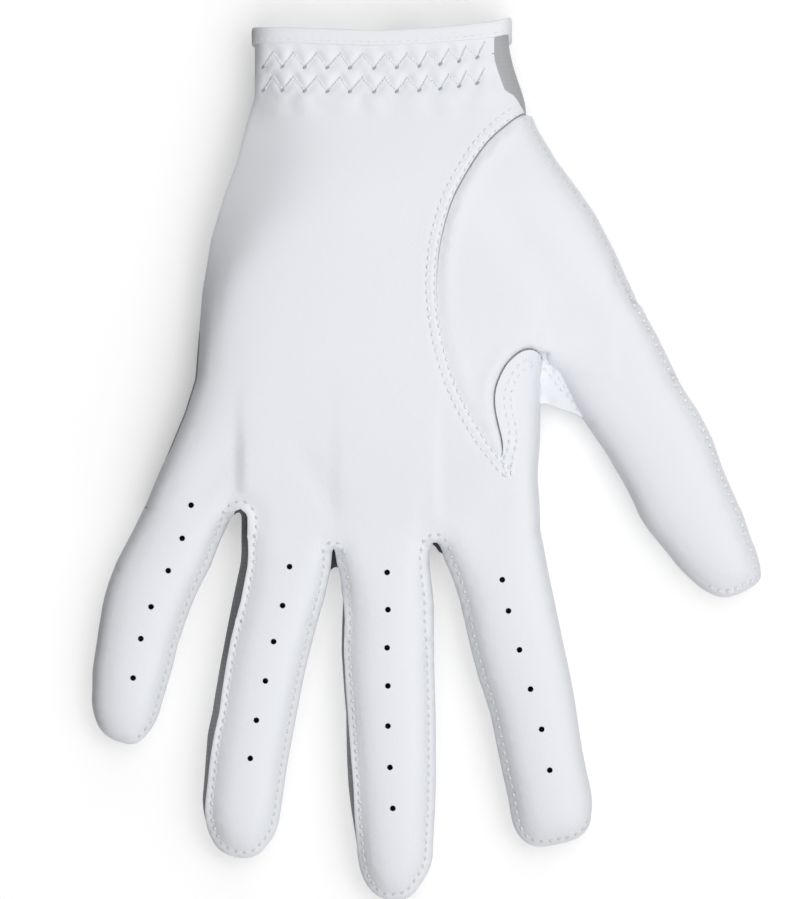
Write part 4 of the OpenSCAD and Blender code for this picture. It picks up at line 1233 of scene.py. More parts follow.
left_ids = below_cuff(ranges("ulnar_leather", "tongue_side"))
left_ids = left_ids[(left_ids <= section_range["tongue_side"][0] + 5) | (OUT[left_ids, 1] <= -7.2)]
wrist_ids = below_cuff(ranges("wrist"))
wrist_ids = wrist_ids[OUT[wrist_ids, 1] > 56]
wrist_edge = hide_edge(wrist_ids)
first = hide_edge(left_ids[:1])[0]
cuff_edge = resample([wrist_edge[-1] + (0, 0.3), (first[0], wrist_edge[-1][1] + 0.3)], 1.1)
hide_loop = np.vstack([hide_edge(left_ids), resample(CROTCH_ARC[::-1], 1.0)[1:],
                       resample(THUMB_SEAM[::-1], 1.0), wrist_edge, cuff_edge[:-1]])


def slots_of(ids):
    return {k: n for n, k in enumerate(ids)}


def loop_spots(name, slots):
    """Loop points at a digit's crease and cut, left and right."""
    base_l, base_r = section_range[name + "_left_base"], section_range[name + "_right_base"]
    return [(slots[base_l[0]], slots[base_r[1]]), (slots[base_l[1]], slots[base_r[0]])]


def cut_lines(loop, spots):
    return {name: [(loop[a], loop[b]) for a, b in pairs] for name, pairs in spots.items()}


slot_of = slots_of(left_ids)
spots = {name: loop_spots(name, slot_of) for name in FINGERS}
net, tris, where = plan_mesh(hide_loop, cuts=sum(spots.values(), []), holes=hole_list, fine=(55, 0.85))
print("palm hide:", len(net), "points,", len(tris), "triangles")

# %% Lifting it and wrapping its free sides round to the back
WRAP_ROWS = (0.05, 0.17, 0.38, 0.65, 1.0)     # shares of the reach round the back
hide_top = hide_surface(net)[0]
hide_parts = part_of(net[tris].mean(1), cut_lines(hide_loop, spots))


def wrap_rows(points, tris, parts, ids, where_of):
    """Adds rows of faces that carry a sheet from the silhouette round to the back."""
    previous = np.array([where_of[k] for k in ids])
    new_tris, new_parts = [], []
    for share in WRAP_ROWS:
        flat_points = OUT[ids] + INWARD[ids] * (share * BACK_INSET[ids])[:, None]
        lower, normal, dist, at = back(flat_points)
        lower += normal * (SEAM[ids] * seam_relief(-dist))[:, None]
        current = np.arange(len(points), len(points) + len(ids))
        points = np.vstack([points, lower])
        for k in range(len(ids) - 1):
            a, b, c, e = previous[k], previous[k + 1], current[k], current[k + 1]
            new_tris += [(a, c, e), (a, e, b)]
            new_parts += [outline_part(ids[k])] * 2
        previous = current
    return points, np.vstack([tris, new_tris]), np.concatenate([parts, np.array(new_parts, object)])


net_at = {k: where[n] for k, n in slot_of.items()}
for names in (("pinky_left_base", "pinky_left_tip"), ("index_right_tip", "tongue_side")):
    ids = ranges(*names)
    ids = ids[[k in net_at for k in ids]]
    hide_top, tris, hide_parts = wrap_rows(hide_top, tris, hide_parts, ids, net_at)
# Points on the rims of the perforations, which take the near-black painted shade
hole_rims = np.zeros(len(hide_top), bool)
for centre, radius in hole_list:
    hole_rims[:len(net)] |= np.linalg.norm(net - centre, axis=1) < radius * 1.05
LEATHER_T = 0.8
hide_names = {f"{n}_{w}": f"{n}_front_{w}_hide" for n in FINGERS for w in ("base", "tip")}
hide_names = {"hand": "palm_hide"} | hide_names
# The raw edge along the lap takes the cut edge's grey and its painted groove shade
on_lap = nearest(hide_top[:, :2], lap_line)[0] < 0.3
hide = shell_pieces(hide_top, tris, LEATHER_T, hide_parts, hide_names,
                    [LEATHER, CUT_EDGE_AND_SHADE, FLESH_SIDE_AND_SHADE, PUNCHED], hole_rims, cut_rims=on_lap)
for part, piece in hide.items():
    settle(piece, part, "palm_panel" if part == "hand" else part.replace("_", "_front_"))
print("palm hide pieces:", {p: len(o.data.polygons) for p, o in hide.items()})

# %% [markdown]
# ## The thumb piece
#
# The thumb is a second cut. It runs under the lapped edge of the palm hide, with the few
# millimetres of allowance that a sewer leaves there, and wraps round the inner side of the thumb.

# %% Cutting out the thumb piece
seam_under = resample(THUMB_SEAM, 1.2)
seam_under = seam_under - loop_inward(np.vstack([seam_under, [(70, -20), (80, 60)]]))[:len(seam_under)] * 3.0
seam_under = seam_under[(seam_under[:, 1] < 57) & (seam_under[:, 1] > -31)]
arc_under = resample(CROTCH_ARC[:-6], 1.2)
arc_under = arc_under + rightward(arc_under) * 2.3
arc_under = arc_under[(arc_under[:, 1] > -28) & (arc_under[:, 0] < 40.6)]
thumb_ids = ranges("thumb_left_base", "thenar")
thumb_edge = hide_edge(thumb_ids)
bottom = rounded([seam_under[-1], (29.8, -33.2), (32.6, -34), (34.6, -32), arc_under[0]], 2)
thumb_loop = np.vstack([thumb_edge, seam_under, bottom[1:-1], arc_under,
                        resample([arc_under[-1], thumb_edge[0]], 1.0)[1:-1]])
thumb_slot = slots_of(thumb_ids)
thumb_spots = {"thumb": loop_spots("thumb", thumb_slot)}
net, tris, where = plan_mesh(thumb_loop, cuts=thumb_spots["thumb"])
to_lap, at_lap, _ = nearest(net, lap_line)
under = to_lap * np.where(in_loop(net, np.vstack([lap_line, [(60, -10), (60, 50)]])), 1, -1)
thumb_top, thumb_normal = hide_surface(net, lapped=False)
beside_lap = 0.45 * bell(under - 2.2, 1.7) - 0.75 * bell(under, 0.8)
thumb_top += thumb_normal * (lap_depth(net[:, 1], at_lap) * beside_lap
                             - 0.3 * smooth((0.2 - under) / 0.8))[:, None]
thumb_parts = part_of(net[tris].mean(1), cut_lines(thumb_loop, thumb_spots))
net_at = {k: where[n] for k, n in thumb_slot.items()}
thumb_top, tris, thumb_parts = wrap_rows(thumb_top, tris, thumb_parts, thumb_ids, net_at)
thumb_hide = shell_pieces(thumb_top, tris, LEATHER_T, thumb_parts,
                          {"hand": "thumb_gore_hide", "thumb_base": "thumb_front_base_hide",
                           "thumb_tip": "thumb_front_tip_hide"}, [LEATHER, FLESH_SIDE_AND_SHADE, PUNCHED])
for part, piece in thumb_hide.items():
    settle(piece, part, "thumb_gore_front" if part == "hand" else part.replace("_", "_front_"))
print("thumb pieces:", {p: len(o.data.polygons) for p, o in thumb_hide.items()})

# %% [markdown]
# ## Side walls of the fingers
#
# Between front and back, each finger has a narrow strip of grey stretch mesh, a fourchette, which
# runs down one finger and up its neighbour. Here it is one band of faces that follows the outline
# from under the front's lip to under the back's. Near a fingertip the wall ends, and it is leather.

# %% One band along the outline
BAND_FRONT = [(1.0, 1.5), (1.0, 0.8), (1.0, 0.3), (0.75, 0.16), (0.45, 0.1), (0.2, 0.06), (0.06, 0.02)]
BAND_BACK = (0.0, 0.06, 0.2, 0.45, 0.75, 1.15)
BAND_SUNK, BAND_T = 0.22, 0.5


def band(ids):
    """Rows of points from under the front's edge, over the silhouette, to under the back's edge."""
    rows = []
    for share, more in BAND_FRONT:
        p, n, dist, _ = front(OUT[ids] + INWARD[ids] * (share * INSET[ids] + more)[:, None])
        drop = BAND_SUNK + 0.9 * smooth((dist - INSET[ids] - 0.1) / 0.8)
        rows.append(p - n * drop[:, None])
    for share in BAND_BACK:
        p, n, _, _ = back(OUT[ids] + INWARD[ids] * (share * BACK_INSET[ids])[:, None])
        rows.append(p - n * (BAND_SUNK + 0.3 * smooth((share - 0.6) / 0.4)))
    return rows


def band_pieces(ids, names, finishes, leather_at=None):
    """The band as a closed shell for each section. leather_at marks points with the second finish."""
    rows = band(ids)
    n = len(ids)
    marks = np.zeros(n, int) if leather_at is None else leather_at.astype(int)
    tris, parts, mats = [], [], []
    for r in range(len(rows) - 1):
        for k in range(n - 1):
            a, c = r * n + k, (r + 1) * n + k
            tris += [(a, c, c + 1), (a, c + 1, a + 1)]
            parts += [section_name(ids[k])] * 2
            mats += [marks[k]] * 2
    return shell_pieces(np.vstack(rows), np.array(tris), BAND_T, np.array(parts, object), names, finishes,
                        face_finish=np.array(mats))


print("each wall is a band of", len(BAND_FRONT) + len(BAND_BACK), "rows")

# %% Walls and forks of the four fingers
WALL_NODE = {"pinky_right": "pinky_wall", "ring_left": "ring_outer_wall", "ring_right": "ring_inner_wall",
             "middle_left": "middle_outer_wall", "middle_right": "middle_inner_wall",
             "index_left": "index_wall"}
wall_sections = [r[0] for r in outline_rows
                 if r[0].rsplit("_", 1)[0] in WALL_NODE or r[0].startswith("crotch")]
wall_ids = ranges("pinky_right_tip", "index_left_tip")
tip_marks = np.zeros(len(wall_ids), bool)
for name in FINGERS:
    tip_point = on_digit(DIGITS[name], DIGITS[name]["length"], 0)
    tip_marks |= np.linalg.norm(OUT[wall_ids] - tip_point, axis=1) < 6.5
walls = band_pieces(wall_ids, {s: s for s in wall_sections}, [MESH, LEATHER, MESH, MESH], tip_marks)
for name, piece in walls.items():
    if name.startswith("crotch"):
        node_name, part = name.replace("crotch", "fork"), "hand"
    else:
        side, which = name.rsplit("_", 1)
        node_name, part = f"{WALL_NODE[side]}_{which}", f"{side.split('_')[0]}_{which}"
    piece.name = node_name + "_mesh"
    settle(piece, part, node_name)
print(len(walls), "walls and forks")

# %% [markdown]
# In a crotch, a little web closes what would be a hole: knit between two fingers, and a folded scrap
# of leather by the thumb. A web is a flat net with a height of its own.

# %% Webs
def web(name, outline, height, part, finishes, thickness=0.6):
    """A small sheet over a plan outline, at a height of its own."""
    loop = resample(np.vstack([rounded(outline, 1), outline[:1]]), 0.8)[:-1]
    if np.sum(loop[:, 0] * np.roll(loop[:, 1], -1) - loop[:, 1] * np.roll(loop[:, 0], -1)) < 0:
        loop = loop[::-1]
    net, tris, _ = plan_mesh(loop, spacing=0.9)
    points = np.column_stack([net, height(net)])
    parts = np.full(len(tris), name, object)
    return settle(shell_pieces(points, tris, thickness, parts, {name: name}, finishes)[name], part)


def thumb_web_height(p):
    return (9.0 + 3.6 * smooth((p[:, 1] + 18.5) / 12) + 2.6 * smooth((p[:, 1] + 6) / 4)
            - 0.9 * bell(nearest(p, WEB_FOLD)[0], 1.2))


FORK_WEB_Z = 5.6
FORK_WEBS = {
    "ring_middle": [(-9.1, -50.0), (-8.4, -50.0), (-7.4, -53.5), (-6.8, -56.6), (-8.1, -55.3), (-9.3, -55.8),
                    (-10.8, -57.4), (-10.3, -54)],
    "middle_index": [(15.0, -48.7), (16.6, -48.4), (18, -49.4), (19.2, -52), (17.8, -52.3), (16.9, -51.7),
                     (16.1, -50.3), (15.2, -49.9)],
}
WEB_FOLD = np.array([(40.4, -11.8), (42.5, -14.3), (44.3, -16.1)])
THUMB_WEB = [(39.6, -2.0), (41.6, -0.6), (43.8, -1.2), (46.0, -5.4), (48.2, -11), (50.8, -15.4), (52.4, -19.2),
             (51.0, -18.4), (49.2, -17.5), (46.8, -16.9), (44.4, -15.9), (42.6, -15.4), (41.2, -15.8),
             (39.4, -16.6), (38.8, -13), (38.8, -8)]
WEB_BEND = ("hand", "thumb_base", np.array([42, -10, 0]) * MM, np.array([49.5, -10, 0]) * MM)
# The knit webs in the crotches are painted near black, as the shade there
for name, outline in FORK_WEBS.items():
    web(f"fork_{name}_web", np.array(outline), lambda p: np.full(len(p), FORK_WEB_Z), "hand",
        [FORK_SHADE_KNIT] * 3)
thumb_web = web("thumb_crotch_web", np.array(THUMB_WEB), thumb_web_height, WEB_BEND,
                [LEATHER, FLESH_SIDE_AND_SHADE, PUNCHED], 0.8)
print("the thumb's web has", len(thumb_web.data.polygons), "faces")

# %% The side of the palm: leather by the wrist, mesh further down, and the knitted gusset opposite
for section, piece_name, finish, slot_name, node_name in (
        ("ulnar_leather", "ulnar_leather_strip", LEATHER, "leather", "ulnar_leather"),
        ("ulnar_mesh", "ulnar_mesh_strip", MESH, "stretch_mesh", "ulnar_mesh"),
        ("wrist", "wrist_gusset_knit", GUSSET, "stretch_mesh", "wrist_gusset")):
    ids = below_cuff(ranges(section))
    piece = band_pieces(ids, {section: piece_name}, [finish] * 3)[section]
    settle(piece, "hand", node_name)
    print(piece_name, "is", length_of(OUT[ids]), "mm long")

# %% [markdown]
# ## The back
#
# The back has several cuts: leather over the hand with a vent that opens to the cuff, a band of mesh
# over the knuckles that gives when the hand closes, a leather strip below it, and the backs of the
# digits. They are one flat net, divided along the seam lines, so neighbours share every seam point.

# %% Lines of the back
VENT_X, VENT_W, VENT_BOTTOM = 7.5, 7.0, 43.5
MESH_TOP_Y, MESH_LOW_Y = (-13.5, -14.3), (-26.0, -26.3)
BACK_LAP = 0.5
back_ids = below_cuff(np.arange(len(OUT)))
back_edge = OUT[back_ids] + INWARD[back_ids] * (BACK_INSET[back_ids] - BACK_LAP)[:, None]
vent_right, vent_left = VENT_X + VENT_W / 2, VENT_X - VENT_W / 2
vent_foot = rounded([(vent_right, 60), (vent_right, VENT_BOTTOM), (vent_left, VENT_BOTTOM), (vent_left, 60)], 3)
vent = resample(np.vstack([[vent_right, CUFF_HIDDEN_Y], resample(vent_foot, 1.1),
                           [vent_left, CUFF_HIDDEN_Y]]), 1.1)
top_right = resample([back_edge[-1] + (0, 0.2), vent[0]], 1.1)
top_left = resample([vent[-1], back_edge[0] + (0, 0.2)], 1.1)
back_loop = np.vstack([back_edge, top_right[:-1], vent, top_left[1:-1]])
back_slot = slots_of(back_ids)
back_spots = {name: loop_spots(name, back_slot) for name in DIGITS}


def slot_near(section, y):
    ids = below_cuff(ranges(section))
    return back_slot[ids[np.abs(OUT[ids, 1] - y).argmin()]]


mesh_cuts = [(slot_near("ulnar_mesh", a), [(-20, a + 2.0), (0, a + 2.6), (20, a + 1.6)],
              slot_near("tongue_side", b)) for a, b in (MESH_TOP_Y, MESH_LOW_Y)]
thumb_cut = (slot_near("thenar", 55.2), rounded([(36.2, 50), (35.5, 38), (36.2, 20), (39, 5)], 2),
             back_slot[section_range["tongue_side"][1]])
border_lines = [np.vstack([back_loop[c[0]], c[1], back_loop[c[2]]]) for c in (*mesh_cuts, thumb_cut)]
all_cuts = sum(back_spots.values(), []) + mesh_cuts + [thumb_cut]
net, tris, where = plan_mesh(back_loop, cuts=all_cuts, spacing=2.2, rows=(0.4, 0.9, 1.4, 2.1, 3.0))
print("back:", len(net), "points,", len(tris), "triangles")

# %% Lifting the back
border_points = [resample(line, 1.0) for line in border_lines]


def back_surface(points):
    base, normal, dist, at = back(points)
    raised = seam_relief(dist - np.interp(at, np.arange(len(OUT)), BACK_INSET - BACK_LAP))
    gap = np.min([nearest(points, line)[0] for line in border_points], axis=0)
    raised += 0.3 * bell(gap - 1.0, 0.7) - 0.45 * bell(gap, 0.5)
    base = base + normal * raised[:, None]
    base[:, 2] = np.maximum(base[:, 2], 0.02)
    return base, normal


centres = net[tris].mean(1)
back_parts = part_of(centres, cut_lines(back_loop, back_spots))
on_hand = back_parts == "hand"
upper_y, lower_y = (np.interp(centres[:, 0], line[:, 0], line[:, 1]) for line in border_lines[:2])
in_thumb = in_loop(centres, np.vstack([border_lines[2], [(90, -3.9), (90, 60)]]))
back_parts[on_hand] = "back_panel"
back_parts[on_hand & (centres[:, 1] < upper_y)] = "knuckle_mesh"
back_parts[on_hand & (centres[:, 1] < lower_y)] = "knuckle_leather"
back_parts[on_hand & in_thumb] = "thumb_gore_back"
back_names = {p: p + "_sheet" for p in ("back_panel", "knuckle_mesh", "knuckle_leather", "thumb_gore_back")} \
    | {f"{n}_{w}": f"{n}_back_{w}_sheet" for n in DIGITS for w in ("base", "tip")}
backs = shell_pieces(back_surface(net)[0], tris[:, ::-1], LEATHER_T, back_parts, back_names,
                     [LEATHER, FLESH_SIDE_AND_SHADE, PUNCHED])
for part, piece in backs.items():
    is_mesh, on_digit_part = part == "knuckle_mesh", part.rsplit("_", 1)[0] in DIGITS
    if is_mesh:
        piece.data.materials[0] = MESH
    settle(piece, part if on_digit_part else "hand",
           part.replace("_", "_back_") if on_digit_part else part)
print("back pieces:", sorted(backs))

# %% [markdown]
# ## Binding, elastic and closure
#
# A woven tape is folded over the raw edge of the cuff. The closure on the back is a leather tab whose
# hook patch grips a loop patch beside the vent. These are stiff little parts, so plates with a
# softened edge are enough.

# %% Tape, elastic and patch finishes
TAPE = patterned("woven_tape", (0.80, 0.81, 0.83), 0.75, WAVE,
                 dict(Scale=900.0, Distortion=1.5, Detail=1.0, bands_direction="DIAGONAL"),
                 (0.84, 0.85, 0.885), (0.865, 0.875, 0.905), (0.00003, 0.4), Sheen_Weight=0.1)
HOOKS = new_finish("hook_pile", (0.33, 0.34, 0.36), 0.6)[0]
LOOPS = patterned("loop_pile", (0.36, 0.37, 0.39), 0.95, NOISE, dict(Scale=1400.0, Detail=5.0, Roughness=0.7),
                  (0.26, 0.27, 0.29), (0.46, 0.47, 0.49), (0.0003, 0.9), Sheen_Weight=0.4)
ELASTIC = patterned("ribbed_elastic", (0.70, 0.71, 0.73), 0.8, WAVE, dict(Scale=330.0, bands_direction="Y"),
                    (0.6, 0.61, 0.63), (0.76, 0.77, 0.79), (0.0002, 0.7))
print("closure finishes:", [m.name for m in (TAPE, HOOKS, LOOPS, ELASTIC)])

# %% The binding: a rounded band swept round the opening, from one side of the vent to the other
BINDING_LOW, BINDING_TOP = 71.7, 75.4
TAPE_PROUD = 0.55
profile = [(0.0, 0.35), (0.15, 0.85), (0.55, 1.0), (1.3, 0.86), (2.4, 1.0), (3.2, 1.0), (3.7, 0.75),
           (3.9, 0.2), (3.9, -0.6), (3.6, -1.2), (2.4, -1.4), (0.6, -1.4), (0.1, -1.1)]
share = (1 - np.cos(np.linspace(0, math.pi, 61))) / 2


def opening(y, out):
    """Points round the cuff opening at a height y and a distance out of the leather."""
    a, b = left_x(y), wrist_right_x(y)
    from_vent, to_vent = (vent_right - a) / (b - a), (vent_left - a) / (b - a)
    rows = []
    for surface, along in ((back, [from_vent, *share[share > from_vent + 0.01]]), (front, share[-2:0:-1]),
                           (back, [*share[share < to_vent - 0.01], to_vent])):
        p, n, _, _ = surface(np.stack([mix(a, b, np.array(along)), np.full(len(along), y)], 1))
        rows.append(p + unit(n * (1, 0, 1)) * out)
    return np.vstack(rows)


rings = [opening(min(BINDING_LOW + up, BINDING_TOP), TAPE_PROUD * out if out > 0 else out)
         + np.array([0, max(0, BINDING_LOW + up - BINDING_TOP), 0]) for up, out in profile]
n_ring, n_profile = len(rings[0]), len(rings)
band_points = np.stack(rings, axis=1).reshape(-1, 3)
band_faces = []
for here in range(0, (n_ring - 1) * n_profile, n_profile):
    for j in range(n_profile):
        m = (j + 1) % n_profile
        band_faces.append((here + j, here + n_profile + j, here + n_profile + m, here + m))
band_faces += [list(range(n_profile)), list(range((n_ring - 1) * n_profile, n_ring * n_profile))[::-1]]
binding = make_mesh("cuff_binding_tape", band_points, band_faces, None, [TAPE])
settle(binding, "hand", "cuff_binding")
print("binding has", n_ring, "stations round the cuff")


# %% Elastic behind the gathers: a rib-knit strip that lies against the inside of the palm
ELASTIC_X, ELASTIC_Y, ELASTIC_BEHIND = np.linspace(-23, 29, 60), np.linspace(60.5, 71.5, 14), 1.5
gx, gy = np.meshgrid(ELASTIC_X, ELASTIC_Y)
p, n, _, _ = front(np.stack([gx.ravel(), gy.ravel()], 1))
tris, w = [], len(ELASTIC_X)
for r in range(len(ELASTIC_Y) - 1):
    for c in range(w - 1):
        a, f = r * w + c, (r + 1) * w + c
        tris += [(a, a + 1, f + 1), (a, f + 1, f)]
elastic = shell_pieces(p - n * ELASTIC_BEHIND, np.array(tris), 0.7, np.full(len(tris), "elastic", object),
                       {"elastic": "wrist_elastic_band"}, [ELASTIC] * 3)["elastic"]
settle(elastic, "hand", "wrist_elastic")
print("the elastic is", np.ptp(ELASTIC_X), "mm long")


# %% Plates of the closure
def plate(name, outline, z, thickness, finish, soft):
    """A flat piece with a softened edge. outline is in millimetres."""
    outline = np.asarray(outline, float)
    n = len(outline)
    inward = loop_inward(outline)
    levels = [(soft, 0), (0.3 * soft, 0.3 * soft), (0, soft), (0, thickness - soft),
              (0.3 * soft, thickness - 0.3 * soft), (soft, thickness)]
    points = np.vstack([np.column_stack([outline + inward * i, np.full(n, z + h)]) for i, h in levels])
    faces = [list(range(n))[::-1], [(len(levels) - 1) * n + k for k in range(n)]]
    for r in range(len(levels) - 1):
        for k in range(n):
            m = (k + 1) % n
            faces.append((r * n + k, r * n + m, (r + 1) * n + m, (r + 1) * n + k))
    made = make_mesh(name, points, faces, None, [finish])
    for f in list(made.data.polygons)[:2]:
        f.use_smooth = False
    return made


TAB_Y = 54.5


def tab_outline(x1, x2, width, r):
    turn = np.linspace(math.pi / 2, math.pi, 9)
    top = [(x1 + r + r * math.cos(t), TAB_Y + width / 2 - r + r * math.sin(t)) for t in turn]
    low = [(x1 + r + r * math.cos(t), TAB_Y - width / 2 + r - r * math.sin(t)) for t in turn[::-1]]
    return np.array([(x2, TAB_Y - width / 2), (x2, TAB_Y + width / 2), *top, *low])


TAB, ANCHOR = tab_outline(-22.15, 16.85, 25, 4), tab_outline(17.15, 26.15, 25, 0.8)
LABEL = [(-17, 55.9), (-4, 55.9), (-4, 71.9), (-17, 71.9)]
# name, outline, height, thickness, finish, softness of the edge, slot, body and the solid it stands for
for name, outline, z, thick, finish, soft, slot_name, part, node_name in (
        ("tab_strap_leather", TAB, 0.0, 1.0, LEATHER, 0.25, "tab_leather", "tab", "tab_strap"),
        ("tab_lining_tape", tab_outline(-21.15, 16.7, 23, 3), 1.0, 0.6, TAPE, 0.15, "tape", "tab",
         "tab_lining"),
        ("hook_patch_base", tab_outline(-19.65, 1.35, 20, 1.5), 1.6, 0.35, HOOKS, 0.1, "hook_and_loop", "tab",
         "hook_patch"),
        ("loop_patch_pile", tab_outline(-23.15, 0.85, 23, 2), 2.65, 0.75, LOOPS, 0.25, "hook_and_loop", "hand",
         "loop_patch"),
        ("tab_anchor_leather", ANCHOR, 0.0, 3.4, LEATHER, 0.4, "tab_leather", "hand", "tab_anchor"),
        ("blank_label", LABEL, 4.2, 0.3, TAPE, 0.08, "tape", "hand", "size_label")):
    settle(plate(name, outline, z, thick, finish, soft), part, node_name)
    print(name, "is", np.ptp(np.array(outline), axis=0).round(1), "mm")

# %% Tape round the vent
TAPE_IN, TAPE_OUT, TAPE_Z = 0.1, 2.5, (4.2, 4.7)
vent_line = resample(np.vstack([(vent_right, 71.5), vent[vent[:, 1] < 71], (vent_left, 71.5)]), 1.5)
vent_in = loop_inward(np.vstack([vent_line, [(VENT_X, 90)]]))[:len(vent_line)]
n = len(vent_line)
vent_points = [np.column_stack([vent_line + vent_in * offset, np.full(n, z)]) for offset, z in
               ((-TAPE_IN, TAPE_Z[0]), (TAPE_OUT, TAPE_Z[0]), (TAPE_OUT, TAPE_Z[1]), (-TAPE_IN, TAPE_Z[1]))]
vent_faces = [(j * n + k, m * n + k, m * n + k + 1, j * n + k + 1)
              for k in range(n - 1) for j, m in ((0, 1), (1, 2), (2, 3), (3, 0))]
vent_faces += [(0, n, 2 * n, 3 * n)[::-1], (n - 1, 2 * n - 1, 3 * n - 1, 4 * n - 1)]
vent_tape = make_mesh("vent_tape_strip", np.vstack(vent_points), vent_faces, None, [TAPE])
settle(vent_tape, "hand", "vent_tape")
print("the vent's tape is", length_of(vent_line), "mm long")

# %% [markdown]
# ## Stitches
#
# Every seam is a row of short thread loops at an even pitch. A Geometry Nodes tree walks along a line
# that has an up direction at each point, and sets a small bead of thread at each step. Pitch, length,
# thickness and slant are its named inputs, so a new pitch doesn't need any new points.

# %% The stitch tree
def stitch_tree():
    tree = bpy.data.node_groups.new("row_of_stitches", "GeometryNodeTree")
    face = tree.interface
    face.new_socket("Seam", in_out="INPUT", socket_type="NodeSocketGeometry")
    for name, value in (("Pitch", 0.0021), ("Length", 0.0015), ("Thickness", 0.00034), ("Slant", 0.0),
                        ("Height", 0.0001)):
        face.new_socket(name, in_out="INPUT", socket_type="NodeSocketFloat").default_value = value
    face.new_socket("Thread", in_out="INPUT", socket_type="NodeSocketMaterial")
    face.new_socket("Stitches", in_out="OUTPUT", socket_type="NodeSocketGeometry")
    given = node(tree, "NodeGroupInput").outputs

    def step(kind, output, links, **values):
        return node(tree, kind, links, **values).outputs[output]

    # The line becomes a curve with one point for each stitch, lifted by the height
    curve = step("GeometryNodeMeshToCurve", "Curve", {"Mesh": given["Seam"]})
    walk = step("GeometryNodeResampleCurve", "Curve", {"Curve": curve, "Length": given["Pitch"]}, mode="LENGTH")
    up = step("GeometryNodeInputNamedAttribute", "Attribute", {}, data_type="FLOAT_VECTOR", Name="up")
    lift = step("ShaderNodeVectorMath", "Vector", {0: up, "Scale": given["Height"]}, operation="SCALE")
    raised = step("GeometryNodeSetPosition", "Geometry", {"Geometry": walk, "Offset": lift})
    # Each stitch lies along the seam, stands on the leather and turns by the slant
    along = step("GeometryNodeInputTangent", "Tangent", {})
    facing = step("FunctionNodeAxesToRotation", "Rotation", {"Primary Axis": up, "Secondary Axis": along},
                  primary_axis="Z", secondary_axis="X")
    slant = step("FunctionNodeEulerToRotation", "Rotation",
                 {"Euler": step("ShaderNodeCombineXYZ", 0, {"Z": given["Slant"]})})
    turned = step("FunctionNodeRotateRotation", "Rotation", {"Rotation": facing, "Rotate By": slant},
                  rotation_space="LOCAL")
    # A bead of a few dozen faces, stretched to the size of a stitch
    bead = step("GeometryNodeMeshUVSphere", "Mesh", {}, Segments=8, Rings=6, Radius=0.5)
    size = step("ShaderNodeCombineXYZ", 0, {"X": given["Length"], "Y": given["Thickness"],
                                            "Z": given["Thickness"]})
    shape = step("GeometryNodeTransform", "Geometry", {"Geometry": bead, "Scale": size})
    row = step("GeometryNodeInstanceOnPoints", "Instances",
               {"Points": raised, "Instance": shape, "Rotation": turned})
    real = step("GeometryNodeRealizeInstances", "Geometry", {"Geometry": row})
    soft = step("GeometryNodeSetShadeSmooth", "Geometry", {"Geometry": real})
    paint = step("GeometryNodeSetMaterial", "Geometry", {"Geometry": soft, "Material": given["Thread"]})
    node(tree, "NodeGroupOutput", {"Stitches": paint})
    return tree


STITCHES = stitch_tree()
print("stitch tree inputs:", [i.name for i in STITCHES.interface.items_tree if i.in_out == "INPUT"])


# %% Sewing a row: a line, its up directions and the tree make one plain mesh
def seam_line(name, rows):
    """A mesh of loose edges through one or more rows of (points, up directions)."""
    points, ups = zip(*rows)
    edges, count = [], 0
    for p in points:
        edges += [(count + k, count + k + 1) for k in range(len(p) - 1)]
        count += len(p)
    mesh = bpy.data.meshes.new(name)
    mesh.from_pydata((cuff_wave(np.vstack(points)) * MM).tolist(), edges, [])
    attribute = mesh.attributes.new("up", "FLOAT_VECTOR", "POINT")
    attribute.data.foreach_set("vector", unit(np.vstack(ups)).astype(np.float32).ravel())
    made = bpy.data.objects.new(name, mesh)
    bpy.context.scene.collection.objects.link(made)
    return made


def grown(obj, tree, inputs):
    """Runs a tree on an object and leaves its result as a plain mesh."""
    modifier = obj.modifiers.new("grow", "NODES")
    modifier.node_group = tree
    for socket in tree.interface.items_tree:
        if socket.in_out == "INPUT" and socket.name in inputs:
            modifier[socket.identifier] = inputs[socket.name]
    bpy.context.view_layer.update()
    depsgraph = bpy.context.evaluated_depsgraph_get()
    mesh = bpy.data.meshes.new_from_object(obj.evaluated_get(depsgraph))
    obj.modifiers.clear()
    obj.data = mesh
    return obj


def sew(name, rows, part, pitch=2.06, length=1.15, thickness=0.75, slant=0.0, height=0.08, thread=THREAD):
    """Rows of thread as one piece. Sizes are in millimetres, and the slant is in degrees."""
    rows = [(p, n) for p, n in rows if len(p) > 1]
    piece = grown(seam_line(name, rows), STITCHES, {
        "Pitch": pitch * MM, "Length": length * MM, "Thickness": thickness * MM,
        "Slant": math.radians(slant), "Height": height * MM, "Thread": thread})
    settle(piece, part)
    print(name, "has", len(piece.data.polygons), "faces")


# %% Outseams of the front: one row inside each lip, divided where the leather is
def runs_by(values):
    """Stretches of equal values, as (value, start, end)."""
    starts = [0] + [k for k in range(1, len(values)) if values[k] != values[k - 1]] + [len(values)]
    return [(values[a], a, b) for a, b in zip(starts, starts[1:])]


